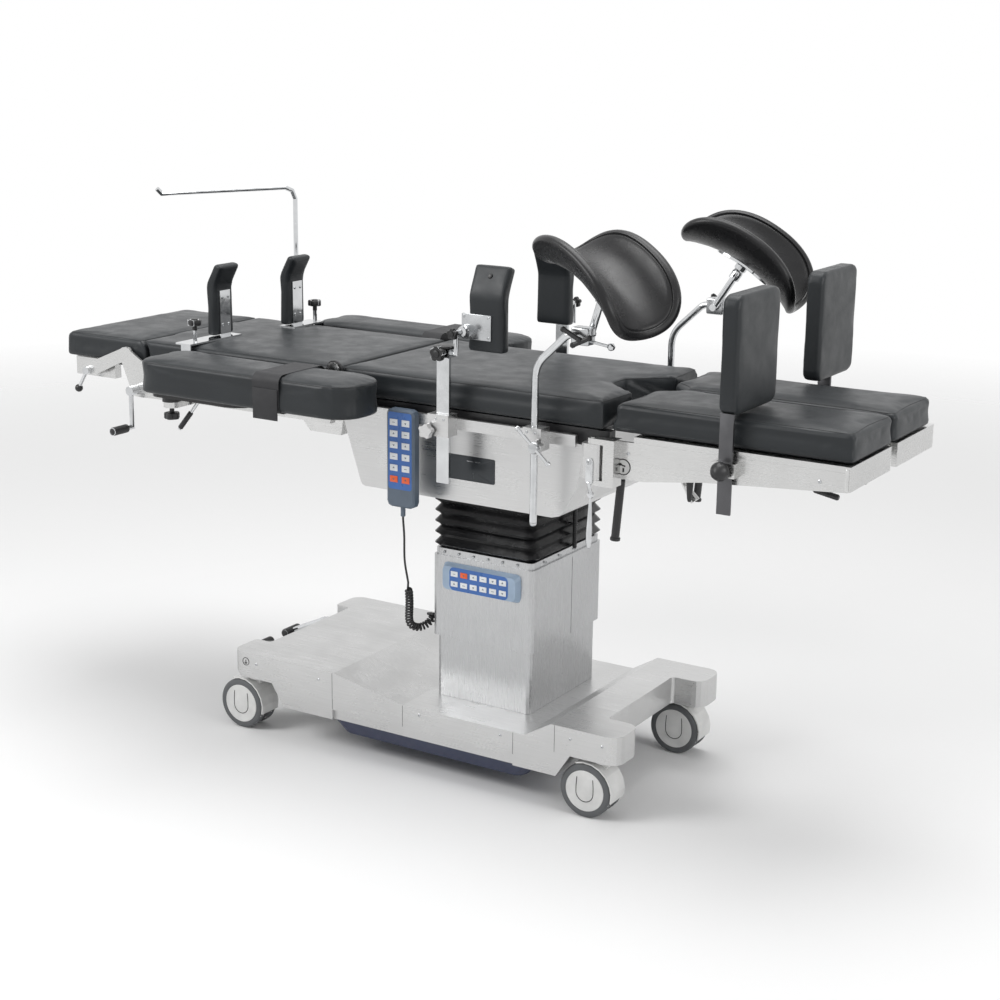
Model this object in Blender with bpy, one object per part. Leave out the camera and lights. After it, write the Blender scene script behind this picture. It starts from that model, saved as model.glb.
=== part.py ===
"""Electric operating table, with its arm boards, shoulder, side and leg supports, foot boards and handset.

Metres, +Z up. The foot end is +X and the near side -Y. The origin is on the floor, under the
middle of the top.
"""

import math

import bmesh
import bpy
from mathutils import Matrix, Vector

NEAR, FAR = -1, 1
SIDES = {"near": NEAR, "far": FAR}

# Fits and facets.
SEAT = 0.0003  # gap where two pieces touch
SLIP = 0.0008  # gap round a pin or a sliding bar
OVERRUN = 0.02  # how far a cut runs past what it cuts
SINK = 0.001  # how deep a fused shape starts inside its neighbour
ROUND_SIDES = 16
ROD_SIDES = 10
PIVOT_MARK = 0.05
CORNER_STEPS = 2
SHARP_ANGLE = math.radians(35)

# The top and its sections.
TOP_Z = 0.940
PAD_THICKNESS = 0.067
PAD_HALF_WIDTH = 0.230
HEAD_END_X = -1.050
FOOT_END_X = 1.050
SECTION_GAP = 0.003
PAD_CROWN = 0.003
PAD_EDGE = 0.012
PAD_DRAWN_IN = 0.003
PAD_UNDER_Z = TOP_Z - PAD_THICKNESS

# Joints.
COLUMN_X = 0.155
PIVOT_Z = 0.725
BACK_HINGE_X = -0.200
BACK_HINGE_DROP = 0.010
BACK_HINGE_Z = TOP_Z - BACK_HINGE_DROP
HEAD_HINGE_X = -0.835
HEAD_HINGE_Z = 0.900
LEG_HINGE_X = 0.490
LEG_HINGE_Z = 0.815
LEG_PIN_Y = 0.262

# Rails.
RAIL_FACE_Y = 0.250
RAIL_THICKNESS = 0.010
RAIL_HEIGHT = 0.025
RAIL_LOW_Z = 0.835

# The column's skins.
SHELL_HALF_X = 0.1345
SHELL_HALF_Y = 0.160
SHELL_WALL = 0.002
SHELL_STEP = 0.004
SHELL_CORNER = 0.010


def clear_scene():
    for obj in list(bpy.data.objects):
        bpy.data.objects.remove(obj, do_unlink=True)


# Solids.


def solid(points, faces):
    bm = bmesh.new()
    verts = [bm.verts.new(point) for point in points]
    for face in faces:
        bm.faces.new([verts[index] for index in face])
    bmesh.ops.recalc_face_normals(bm, faces=bm.faces)
    return bm


def loft(rings):
    """A closed solid through rings of as many points each, capped at both ends."""
    count = len(rings[0])
    points = [point for ring in rings for point in ring]
    last = len(points) - count
    faces = [list(range(count)), list(range(last, last + count))]
    for low in range(0, last, count):
        for i in range(count):
            j = (i + 1) % count
            faces.append([low + i, low + j, low + count + j, low + count + i])
    return solid(points, faces)


def placed(axis, u, v, along):
    """A point from an outline's u and v and its place along the axis."""
    return {"x": (along, u, v), "y": (u, along, v), "z": (u, v, along)}[axis]


def prism(outline, axis, low, high):
    return loft([[placed(axis, u, v, along) for u, v in outline] for along in (low, high)])


def block(x, y, z):
    """A box from three (low, high) pairs."""
    (x0, x1), (y0, y1), (z0, z1) = x, y, z
    return prism([(x0, y0), (x1, y0), (x1, y1), (x0, y1)], "z", z0, z1)


def around(middle, half):
    return (middle - half, middle + half)


def rectangle(u, v):
    return [(u[0], v[0]), (u[1], v[0]), (u[1], v[1]), (u[0], v[1])]


def rounded(outline, radius, steps=CORNER_STEPS):
    """The outline with an arc at each corner; radius is one value, or one for each corner."""
    radii = radius if isinstance(radius, list) else [radius] * len(outline)
    points = []
    for i, wanted in enumerate(radii):
        corner = Vector(outline[i])
        before = Vector(outline[i - 1]) - corner
        after = Vector(outline[(i + 1) % len(outline)]) - corner
        if not wanted:
            points.append(tuple(corner))
            continue
        half = before.angle(after) / 2
        reach = min(wanted / math.tan(half), 0.49 * before.length, 0.49 * after.length)
        arc = reach * math.tan(half)
        middle = (before.normalized() + after.normalized()).normalized()
        centre = corner + middle * arc / math.sin(half)
        start = corner + before.normalized() * reach - centre
        end = corner + after.normalized() * reach - centre
        first = math.atan2(start.y, start.x)
        sweep = (math.atan2(end.y, end.x) - first + math.pi) % math.tau - math.pi
        for k in range(steps + 1):
            angle = first + sweep * k / steps
            points.append((centre.x + arc * math.cos(angle), centre.y + arc * math.sin(angle)))
    return points


def circle(centre, radius, sides=ROUND_SIDES, turn=0.0):
    angles = [turn + math.tau * i / sides for i in range(sides)]
    return [(centre[0] + radius * math.cos(a), centre[1] + radius * math.sin(a)) for a in angles]


def arc(centre, radius, first, last, steps):
    angles = [math.radians(first + (last - first) * i / steps) for i in range(steps + 1)]
    return [(centre[0] + radius * math.cos(a), centre[1] + radius * math.sin(a)) for a in angles]


def drum(axis, centre, radius, low, high, sides=ROUND_SIDES):
    """A cylinder along an axis; centre holds the two coordinates across it."""
    return prism(circle(centre, radius, sides), axis, low, high)


def bored(radius, sides=ROUND_SIDES):
    """Radius of a bore whose flats clear a pin of this radius at any turn."""
    return (radius + SEAT) / math.cos(math.pi / sides)


def turned(profile, axis, centre, sides=ROUND_SIDES):
    """A revolved solid. The profile is (radius, along), on the axis at both ends or at neither."""
    rings, points = [], []
    for radius, along in profile:
        ring = circle(centre, radius, sides) if radius else [centre]
        rings.append(range(len(points), len(points) + len(ring)))
        points += [placed(axis, u, v, along) for u, v in ring]
    pairs = list(zip(rings, rings[1:]))
    if profile[0][0]:
        pairs.append((rings[-1], rings[0]))
    faces = []
    for first, second in pairs:
        for i in range(sides):
            j = (i + 1) % sides
            face = [
                first[i % len(first)],
                first[j % len(first)],
                second[j % len(second)],
                second[i % len(second)],
            ]
            faces.append(list(dict.fromkeys(face)))
    return solid(points, faces)


def tube(points, radius, sides=ROD_SIDES):
    """A round bar through points, with flat ends; radius is one value or one for each point."""
    points = [Vector(point) for point in points]
    radii = radius if isinstance(radius, list) else [radius] * len(points)
    runs = [(b - a).normalized() for a, b in zip(points, points[1:])]
    side = runs[0].orthogonal().normalized()
    rings = []
    for i, point in enumerate(points):
        before, after = runs[max(i - 1, 0)], runs[min(i, len(runs) - 1)]
        if i:
            side = before.rotation_difference(after) @ side
        middle = (before + after).normalized()
        stretch = 1 / middle.dot(after)
        across = (side - middle * side.dot(middle)).normalized()
        other = middle.cross(across)
        bend = after - before
        ring = []
        for k in range(sides):
            angle = math.tau * k / sides
            offset = across * math.cos(angle) + other * math.sin(angle)
            if bend.length > 1e-6:
                inward = bend.normalized()
                offset += inward * (offset.dot(inward) * (stretch - 1))
            ring.append(point + offset * radii[i])
        rings.append(ring)
    return loft(rings)


def ball(centre, radius, axis="z", sides=ROD_SIDES, rows=6):
    """A round knob; its poles are on the axis."""
    middle = centre["xyz".index(axis)]
    across = tuple(value for name, value in zip("xyz", centre) if name != axis)
    profile = [(0, middle - radius)]
    for k in range(1, rows):
        angle = math.pi * k / rows
        profile.append((radius * math.sin(angle), middle - radius * math.cos(angle)))
    return turned([*profile, (0, middle + radius)], axis, across, sides)


def moved(bm, matrix):
    bmesh.ops.transform(bm, matrix=matrix, verts=bm.verts)
    if matrix.determinant() < 0:
        bmesh.ops.reverse_faces(bm, faces=bm.faces)
    return bm


def on_side(bm, side):
    """Solids are drawn on the near side, and the far side takes their mirror image."""
    return bm if side == NEAR else moved(bm, Matrix.Diagonal((1, -1, 1, 1)))


# Booleans.


def helper_object(bm):
    mesh = bpy.data.meshes.new("helper")
    bm.to_mesh(mesh)
    bm.free()
    obj = bpy.data.objects.new("helper", mesh)
    bpy.context.scene.collection.objects.link(obj)
    return obj


def combined(operation, base, others):
    """The base with each of the others joined, cut out or kept in common, by the exact solver."""
    host = helper_object(base)
    tools = [helper_object(other) for other in others]
    for tool in tools:
        modifier = host.modifiers.new(operation, "BOOLEAN")
        modifier.operation = operation
        modifier.object = tool
    graph = bpy.context.evaluated_depsgraph_get()
    mesh = bpy.data.meshes.new_from_object(host.evaluated_get(graph))
    result = bmesh.new()
    result.from_mesh(mesh)
    for obj in [host, *tools]:
        used = obj.data
        bpy.data.objects.remove(obj, do_unlink=True)
        bpy.data.meshes.remove(used)
    bpy.data.meshes.remove(mesh)
    return result


def fused(base, *others):
    return combined("UNION", base, others)


def cut(base, *others):
    return combined("DIFFERENCE", base, others)


def common(base, *others):
    return combined("INTERSECT", base, others)


# Finishes.


def finish(name, colour, roughness, metallic):
    found = bpy.data.materials.get(name)
    if found:
        return found
    made = bpy.data.materials.new(name)
    made.use_nodes = True
    shader = made.node_tree.nodes["Principled BSDF"]
    shader.inputs["Base Color"].default_value = (*colour, 1)
    shader.inputs["Roughness"].default_value = roughness
    shader.inputs["Metallic"].default_value = metallic
    made.diffuse_color = (*colour, 1)
    return made


def brushed_steel():
    return finish("brushed steel", (0.55, 0.56, 0.57), 0.38, 1.0)


def chrome():
    return finish("chrome", (0.80, 0.81, 0.82), 0.10, 1.0)


def navy_paint():
    return finish("navy paint", (0.045, 0.058, 0.115), 0.45, 0.0)


def grey_paint():
    return finish("grey paint", (0.33, 0.34, 0.36), 0.50, 0.0)


def white_plastic():
    return finish("white plastic", (0.75, 0.75, 0.74), 0.40, 0.0)


def black_plastic():
    return finish("black plastic", (0.015, 0.015, 0.017), 0.35, 0.0)


def black_rubber():
    return finish("black rubber", (0.020, 0.020, 0.022), 0.55, 0.0)


def leatherette():
    return finish("charcoal leatherette", (0.055, 0.062, 0.068), 0.55, 0.0)


def blue_plastic():
    return finish("blue plastic", (0.14, 0.30, 0.62), 0.40, 0.0)


def saddle_foam():
    return finish("black moulded foam", (0.012, 0.012, 0.014), 0.30, 0.0)


# Bodies, each an empty on its joint's axis.

BODIES = {}


def body(name, parent, place):
    pivot = bpy.data.objects.new("axis " + name, None)
    bpy.context.scene.collection.objects.link(pivot)
    pivot.empty_display_size = PIVOT_MARK
    held = BODIES.get(parent)
    if held:
        pivot.parent = held[0]
        pivot.location = Vector(place) - held[1]
    else:
        pivot.location = place
    BODIES[name] = (pivot, Vector(place))


def piece(name, rides_on, look, bm):
    """One named object, its origin on its body's axis."""
    pivot, place = BODIES[rides_on]
    moved(bm, Matrix.Translation(-place))
    mesh = bpy.data.meshes.new(name)
    bm.to_mesh(mesh)
    bm.free()
    mesh.shade_smooth()
    mesh.set_sharp_from_angle(angle=SHARP_ANGLE)
    mesh.materials.clear()
    mesh.materials.append(look)
    obj = bpy.data.objects.new(name, mesh)
    bpy.context.scene.collection.objects.link(obj)
    obj.parent = pivot
    return obj


# Base: a tee-shaped steel cover on a navy tray, on four swivelling twin-wheel casters.

BASE_HEAD_X, BASE_FOOT_X = -0.505, 0.570
BASE_HALF_WIDTH = 0.260
BASE_HEAD_TOP_Z, BASE_DECK_Z, BASE_FOOT_TOP_Z = 0.203, 0.165, 0.205
BASE_SLOPE_X = (-0.197, 0.003)
BASE_RAMP_X = (0.334, 0.400)
BASE_UNDER_Z, BASE_ARM_UNDER_Z, BASE_TOE_Z = 0.085, 0.140, 0.160
BASE_TOE_X, BASE_HEEL_X, BASE_HEEL_RUN = -0.347, 0.414, 0.036
BASE_CORNER, BASE_NOTCH_CORNER = 0.030, 0.010
HEAD_NOTCH_DEPTH, HEAD_NOTCH_HALF = 0.045, 0.165
FOOT_NOTCH_DEPTH, FOOT_NOTCH_HALF = 0.080, 0.160
SKIRT_X, SKIRT_Z, SKIRT_DEPTH = (-0.200, 0.303), 0.110, 0.008

TRAY_X, TRAY_LOW_X, TRAY_HALF_WIDTH, TRAY_LOW_Z = (-0.210, 0.350), (-0.190, 0.310), 0.250, 0.047
TRAY_CORNER = 0.020

STEM_X = {"head": -0.453, "foot": 0.519}
STEM_Y = 0.220
WHEEL_RADIUS, WHEEL_HALF, WHEEL_INNER, WHEEL_TRAIL = 0.0625, 0.031, 0.011, 0.035
WHEEL_AXLE, WHEEL_DISC, WHEEL_DISH, TYRE_EDGE = 0.006, 0.046, 0.0015, 0.003
HOOD_FORK_HALF, HOOD_WALL, HOOD_GAP, HOOD_DISC = 0.0102, 0.003, 0.0025, 0.026
HOOD_ARC = (-14, 112)
HOOD_STEPS = 7

PEDAL_PIN_X, PEDAL_PIN_Z, PEDAL_PIN = -0.478, 0.176, 0.005
BRAKE_Y, STEER_Y, PEDAL_HALF, LUG = 0.130, -0.100, 0.012, 0.008
PEDAL_BOSS = 0.010
BRAKE_END = (-0.627, 0.118)
STEER_END = (-0.535, 0.165)
PEDAL_ROD, PEDAL_GRIP, PEDAL_GRIP_LENGTH = 0.007, 0.011, 0.060

GUIDE_HALF, GUIDE_WALL, GUIDE_LOW_Z, GUIDE_TOP_Z = 0.055, 0.008, 0.120, 0.378


def base_plan():
    notch = (HEAD_NOTCH_HALF, FOOT_NOTCH_HALF)
    head, foot = BASE_HEAD_X + HEAD_NOTCH_DEPTH, BASE_FOOT_X - FOOT_NOTCH_DEPTH
    half = [
        (head, -notch[0]),
        (BASE_HEAD_X, -notch[0]),
        (BASE_HEAD_X, -BASE_HALF_WIDTH),
        (BASE_FOOT_X, -BASE_HALF_WIDTH),
        (BASE_FOOT_X, -notch[1]),
        (foot, -notch[1]),
    ]
    radii = [
        BASE_NOTCH_CORNER, BASE_NOTCH_CORNER, BASE_CORNER, BASE_CORNER, BASE_CORNER, BASE_NOTCH_CORNER
    ]
    mirror = [(x, -y) for x, y in reversed(half)]
    return rounded(half + mirror, radii + radii[::-1], 2 * CORNER_STEPS)


def base_profile():
    heel = BASE_HEEL_X + BASE_HEEL_RUN
    return [
        (BASE_HEAD_X - OVERRUN, BASE_HEAD_TOP_Z),
        (BASE_HEAD_X - OVERRUN, BASE_TOE_Z),
        (BASE_HEAD_X, BASE_TOE_Z),
        (STEM_X["head"] - HOOD_DISC, BASE_ARM_UNDER_Z),
        (BASE_TOE_X - BASE_HEEL_RUN, BASE_ARM_UNDER_Z),
        (BASE_TOE_X, BASE_UNDER_Z),
        (BASE_HEEL_X, BASE_UNDER_Z),
        (heel, BASE_ARM_UNDER_Z),
        (BASE_FOOT_X + OVERRUN, BASE_ARM_UNDER_Z),
        (BASE_FOOT_X + OVERRUN, BASE_FOOT_TOP_Z),
        (BASE_RAMP_X[1], BASE_FOOT_TOP_Z),
        (BASE_RAMP_X[0], BASE_DECK_Z),
        (BASE_SLOPE_X[1], BASE_DECK_Z),
        (BASE_SLOPE_X[0], BASE_HEAD_TOP_Z),
    ]


def pedal_lugs(y):
    """Two lugs on the notch wall and the pin between them."""
    wall = BASE_HEAD_X + HEAD_NOTCH_DEPTH
    reach = PEDAL_PIN_X - 2 * PEDAL_PIN
    lugs = []
    for out in NEAR, FAR:
        inner = y + out * (PEDAL_HALF + SEAT)
        span = sorted((inner, inner + out * LUG))
        outline = rectangle(
            (reach, wall + SINK), (PEDAL_PIN_Z - 2 * PEDAL_PIN, PEDAL_PIN_Z + 2 * PEDAL_PIN)
        )
        lugs.append(prism(outline, "y", *span))
    pin = drum("y", (PEDAL_PIN_X, PEDAL_PIN_Z), PEDAL_PIN, *around(y, PEDAL_HALF + SINK), ROD_SIDES)
    return [*lugs, pin]


def base_cover():
    plan = prism(base_plan(), "z", BASE_UNDER_Z - OVERRUN, BASE_FOOT_TOP_Z + OVERRUN)
    cover = common(plan, prism(base_profile(), "y", *around(0, BASE_HALF_WIDTH + OVERRUN)))
    skirts = [
        on_side(
            block(
                SKIRT_X,
                (-BASE_HALF_WIDTH - OVERRUN, -BASE_HALF_WIDTH + SKIRT_DEPTH),
                (BASE_UNDER_Z - OVERRUN, SKIRT_Z),
            ),
            side,
        )
        for side in (NEAR, FAR)
    ]
    fit = GUIDE_HALF + SEAT
    pocket = block(around(COLUMN_X, fit), around(0, fit), (GUIDE_LOW_Z, BASE_DECK_Z + OVERRUN))
    cover = cut(cover, *skirts, pocket)
    cover = fused(cover, *pedal_lugs(BRAKE_Y), *pedal_lugs(STEER_Y))
    piece("base_cover", "base", brushed_steel(), cover)


def base_tray():
    rings = []
    for span, inset, z in ((TRAY_LOW_X, TRAY_CORNER, TRAY_LOW_Z), (TRAY_X, 0, BASE_UNDER_Z - SEAT)):
        outline = rounded(rectangle(span, around(0, TRAY_HALF_WIDTH - inset)), TRAY_CORNER)
        rings.append([(x, y, z) for x, y in outline])
    piece("base_tray", "base", navy_paint(), loft(rings))


def lift_guide():
    top = (GUIDE_LOW_Z + SEAT, GUIDE_TOP_Z)
    outer = block(around(COLUMN_X, GUIDE_HALF), around(0, GUIDE_HALF), top)
    bore = GUIDE_HALF - GUIDE_WALL
    inner = block(around(COLUMN_X, bore), around(0, bore), (top[0] - OVERRUN, top[1] + OVERRUN))
    piece("lift_guide", "base", grey_paint(), cut(outer, inner))


def caster(side, end):
    """A hood with a fork that holds a twin wheel behind its stem."""
    label = f"{side}_{end}"
    x, y = STEM_X[end], SIDES[side] * STEM_Y
    axle_x = x - WHEEL_TRAIL
    body(f"caster_{label}", "base", (x, y, BASE_ARM_UNDER_Z))
    body(f"wheel_{label}", f"caster_{label}", (axle_x, y, WHEEL_RADIUS))

    inner = WHEEL_RADIUS + HOOD_GAP
    outer = inner + HOOD_WALL
    axle = (axle_x, WHEEL_RADIUS)
    guard = arc(axle, outer, *HOOD_ARC, HOOD_STEPS) + arc(axle, inner, *HOOD_ARC[::-1], HOOD_STEPS)
    top = BASE_ARM_UNDER_Z - SEAT
    crown = top - 3 * HOOD_WALL
    boss = 2 * WHEEL_AXLE
    fork = [
        (axle_x - boss, WHEEL_RADIUS - boss / 2),
        (axle_x - boss / 2, WHEEL_RADIUS - boss),
        (axle_x + boss, WHEEL_RADIUS - boss),
        (x + HOOD_DISC / 2, crown),
        (x + HOOD_DISC / 2, crown + HOOD_WALL),
        (x - HOOD_DISC, crown + HOOD_WALL),
    ]
    hood = fused(
        prism(fork, "y", *around(y, HOOD_FORK_HALF)),
        prism(guard, "y", *around(y, WHEEL_HALF)),
        drum("z", (x, y), HOOD_DISC, crown, top),
    )
    bore = drum("y", axle, WHEEL_AXLE + SLIP, *around(y, WHEEL_HALF), ROD_SIDES)
    piece(f"caster_hood_{label}", f"caster_{label}", white_plastic(), cut(hood, bore))

    half = [
        (WHEEL_AXLE, WHEEL_INNER),
        (WHEEL_RADIUS - TYRE_EDGE, WHEEL_INNER),
        (WHEEL_RADIUS, WHEEL_INNER + TYRE_EDGE),
        (WHEEL_RADIUS, WHEEL_HALF - TYRE_EDGE),
        (WHEEL_DISC, WHEEL_HALF),
        (WHEEL_DISC - WHEEL_DISH, WHEEL_HALF - WHEEL_DISH),
        (0, WHEEL_HALF - WHEEL_DISH),
    ]
    profile = [(r, y - along) for r, along in reversed(half)] + [(r, y + along) for r, along in half]
    wheel = turned(profile, "y", axle)
    piece(f"caster_wheels_{label}", f"wheel_{label}", white_plastic(), wheel)


def pedal(name, y, end, grip_length, look):
    body(name, "base", (PEDAL_PIN_X, y, PEDAL_PIN_Z))
    boss = drum("y", (PEDAL_PIN_X, PEDAL_PIN_Z), PEDAL_BOSS, *around(y, PEDAL_HALF), ROD_SIDES)
    start = (PEDAL_PIN_X - PEDAL_PIN - SINK, y, PEDAL_PIN_Z)
    elbow = (BASE_HEAD_X - PEDAL_GRIP, y, PEDAL_PIN_Z - PEDAL_BOSS / 2)
    rod = tube([start, elbow, (end[0], y, end[1])], PEDAL_ROD)
    grip = drum("y", end, PEDAL_GRIP, *around(y, grip_length / 2), ROD_SIDES)
    bore_y = around(y, PEDAL_HALF + OVERRUN)
    bore = drum("y", (PEDAL_PIN_X, PEDAL_PIN_Z), bored(PEDAL_PIN, ROD_SIDES), *bore_y, ROD_SIDES)
    piece(name, name, look, cut(fused(boss, rod, grip), bore))


# Column: three telescoping steel skins round a square lift tube, with the control panel on the upper one.

SHELL_LOW_TOP_Z = 0.380
SHELL_MID_Z = (0.318, 0.430)
WEAR_STRIP_HALF, WEAR_STRIP_Z = 0.060, (0.322, 0.342)
SHELL_UP_Z = (0.315, 0.5045)
LID_LOW_Z, LID_EDGE_Z, LID_TOP_Z, LID_INSET = 0.503, 0.511, 0.527, 0.004
TUBE_HALF, TUBE_LOW_Z, TUBE_TOP_Z = 0.0462, 0.260, 0.668
EAR_OFFSET, EAR_THICKNESS, EAR_HALF_Y, EAR_TOP_Z = 0.050, 0.012, 0.025, 0.748
GIMBAL_PIN = 0.010

PANEL_HALF_WIDTH, PANEL_Z, PANEL_DEPTH, PANEL_TAPER = 0.1035, (0.431, 0.498), 0.015, 0.006
PANEL_CORNER = 0.010
KEY_COLUMNS, KEY_ROWS = 6, 2
KEY_SIZE, KEY_RISE, KEY_PITCH_X, KEY_PITCH_Z = (0.018, 0.012), 0.0012, 0.026, 0.024
SOCKET_Y, SOCKET_Z, SOCKET_RADIUS, SOCKET_LENGTH = -0.118, 0.345, 0.009, 0.014

BELLOWS_HALF_X, BELLOWS_HALF_Y, BELLOWS_FOLD, BELLOWS_PLEATS = 0.139, 0.165, 0.014, 5
BELLOWS_BORE_X, BELLOWS_BORE_Y, BELLOWS_CORNER = 0.112, 0.138, 0.030
BELLOWS_TOP_Z = 0.657

YOKE_HALF_X, YOKE_HALF_Y, YOKE_HALF_Z = 0.046, 0.050, 0.022
CHEEK_Y, CHEEK_THICKNESS, CHEEK_HALF_X, CHEEK_DROP = 0.065, 0.012, 0.030, 0.026


def skin_half(layer):
    inset = layer * SHELL_STEP
    return SHELL_HALF_X - inset, SHELL_HALF_Y - inset


def column_plan(half, corner, steps=CORNER_STEPS):
    return rounded(rectangle(around(COLUMN_X, half[0]), around(0, half[1])), corner, steps)


def skin(layer, z):
    """An open-ended box skin; layer 0 is the outermost."""
    half = skin_half(layer)
    bore = (half[0] - SHELL_WALL, half[1] - SHELL_WALL)
    outer = prism(column_plan(half, SHELL_CORNER), "z", *z)
    inner = prism(column_plan(bore, SHELL_CORNER - SHELL_WALL), "z", z[0] - OVERRUN, z[1] + OVERRUN)
    return cut(outer, inner)


def column_lower_shell():
    piece("column_lower_shell", "base", brushed_steel(), skin(2, (BASE_DECK_Z + SEAT, SHELL_LOW_TOP_Z)))


def column_mid_shell():
    """The middle skin, with two wear strips that run on the lower one."""
    inner = skin_half(1)[1] - SHELL_WALL
    face = skin_half(2)[1] + SEAT
    strips = [
        block(around(COLUMN_X, WEAR_STRIP_HALF), sorted((way * face, way * (inner + SINK))), WEAR_STRIP_Z)
        for way in (NEAR, FAR)
    ]
    piece("column_mid_shell", "mid_column", brushed_steel(), fused(skin(1, SHELL_MID_Z), *strips))


def column_upper_shell():
    half = skin_half(0)
    lid = prism(column_plan(half, SHELL_CORNER), "z", LID_LOW_Z, LID_EDGE_Z)
    step = (half[0] - LID_INSET, half[1] - LID_INSET)
    strip = prism(column_plan(step, SHELL_CORNER), "z", LID_EDGE_Z - SINK, LID_TOP_Z)
    face = COLUMN_X - half[0]
    socket = drum("x", (SOCKET_Y, SOCKET_Z), SOCKET_RADIUS, face - SOCKET_LENGTH, face + SINK, ROD_SIDES)
    shell = fused(skin(0, SHELL_UP_Z), lid, strip, socket)
    fit = TUBE_HALF + SEAT
    hole = block(around(COLUMN_X, fit), around(0, fit), (LID_LOW_Z - OVERRUN, LID_TOP_Z + OVERRUN))
    piece("column_upper_shell", "lift", brushed_steel(), cut(shell, hole))


def control_panel():
    face = -SHELL_HALF_Y - SEAT
    front = face - PANEL_DEPTH
    middle = sum(PANEL_Z) / 2
    rings = []
    for inset, y in ((0, face), (PANEL_TAPER, front)):
        span_x, span_z = around(COLUMN_X, PANEL_HALF_WIDTH - inset), (PANEL_Z[0] + inset, PANEL_Z[1] - inset)
        rings.append([(x, y, z) for x, z in rounded(rectangle(span_x, span_z), PANEL_CORNER)])
    keys = []
    for column in range(KEY_COLUMNS):
        for row in range(KEY_ROWS):
            x = COLUMN_X + (column - (KEY_COLUMNS - 1) / 2) * KEY_PITCH_X
            z = middle + (row - (KEY_ROWS - 1) / 2) * KEY_PITCH_Z
            keys.append(
                block(
                    around(x, KEY_SIZE[0] / 2),
                    (front - KEY_RISE, front + SINK),
                    around(z, KEY_SIZE[1] / 2),
                )
            )
    piece("control_panel", "lift", blue_plastic(), fused(loft(rings), *keys))


def lift_tube():
    """The square tube's solid head carries the two ears of the lower gimbal axis."""
    tube_body = block(around(COLUMN_X, TUBE_HALF), around(0, TUBE_HALF), (TUBE_LOW_Z, TUBE_TOP_Z))
    head_low = TUBE_TOP_Z - EAR_THICKNESS
    reach = EAR_OFFSET + EAR_THICKNESS
    head = block(around(COLUMN_X, reach), around(0, EAR_HALF_Y), (head_low, TUBE_TOP_Z + SINK))
    parts = [head]
    for way in NEAR, FAR:
        span = sorted((COLUMN_X + way * EAR_OFFSET, COLUMN_X + way * reach))
        outline = rounded(
            rectangle(around(0, EAR_HALF_Y), (TUBE_TOP_Z - SINK, EAR_TOP_Z)),
            [0, 0, GIMBAL_PIN, GIMBAL_PIN],
        )
        parts.append(prism(outline, "x", *span))
    bore = drum("x", (0, PIVOT_Z), bored(GIMBAL_PIN), *around(COLUMN_X, reach + OVERRUN))
    piece("lift_tube", "lift", grey_paint(), cut(fused(tube_body, *parts), bore))


def bellows():
    low, high = LID_TOP_Z + SEAT, BELLOWS_TOP_Z - SEAT
    rings = []
    folds = 2 * BELLOWS_PLEATS
    for k in range(folds + 1):
        inset = 0 if k % 2 else BELLOWS_FOLD
        half = (BELLOWS_HALF_X - inset, BELLOWS_HALF_Y - inset)
        z = low + (high - low) * k / folds
        rings.append([(x, y, z) for x, y in column_plan(half, BELLOWS_CORNER - inset)])
    bore = prism(
        column_plan(
            (BELLOWS_BORE_X, BELLOWS_BORE_Y), BELLOWS_CORNER / 2, 2
        ), "z", low - OVERRUN, high + OVERRUN
    )
    piece("bellows", "lift", black_rubber(), cut(loft(rings), bore))


def gimbal_cross():
    middle = block(around(COLUMN_X, YOKE_HALF_X), around(0, YOKE_HALF_Y), around(PIVOT_Z, YOKE_HALF_Z))
    reach_x = EAR_OFFSET + EAR_THICKNESS
    reach_y = CHEEK_Y + CHEEK_THICKNESS
    lateral = drum("x", (0, PIVOT_Z), GIMBAL_PIN, *around(COLUMN_X, reach_x))
    long = drum("y", (COLUMN_X, PIVOT_Z), GIMBAL_PIN, *around(0, reach_y))
    piece("gimbal_cross", "cradle", grey_paint(), fused(middle, lateral, long))


# Saddle housing: the steel box that hides the gimbal and carries the seat frame.

HOUSING_HALF_Y = 0.200
HOUSING_TOP_Z = 0.845
HOUSING_HEAD_X = (-0.201, -0.151)
HOUSING_HEAD_Z = 0.806
HOUSING_FOOT_X = (0.439, 0.417, 0.379)
HOUSING_FOOT_Z = 0.728
HOUSING_CORNER = 0.012
CAVITY_HALF_X, CAVITY_HALF_Y, CAVITY_TOP_Z = 0.130, 0.140, 0.830

# Seat frame: a plate on cross members, side beams and the stub shafts of the leg hinges.
SEAT_HEAD_X, SEAT_FOOT_X = -0.1897, 0.495
FRAME_HEAD_X, FRAME_FOOT_X = -0.185, 0.480
FRAME_HALF_Y, FRAME_PLATE, BEAM_WIDTH, BEAM_LOW_Z = 0.225, 0.010, 0.018, 0.836
CROSS_X, CROSS_HALF = (-0.120, 0.345), 0.020
STUB_RADIUS, STUB_TIP_Y, BRACKET_Y, BRACKET_HALF_X, BRACKET_DROP = 0.012, 0.248, (0.200, 0.2255), 0.019, 0.017
CUTOUT_MOUTH, CUTOUT_ROOT, CUTOUT_DEPTH, CUTOUT_MARGIN, CUTOUT_CORNER = 0.105, 0.032, 0.080, 0.008, 0.020
HINGE_PLATE_Y, HINGE_PLATE_THICKNESS, HINGE_PIN = 0.2325, 0.0115, 0.006
HINGE_PLATE_X, HINGE_PLATE_LOW_Z = (-0.222, -0.160), 0.842
RAIL_X = (-0.145, 0.440)
SPACER_X, SPACER_HALF, SPACER_EDGE = (-0.100, 0.150, 0.400), 0.012, 0.004

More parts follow.
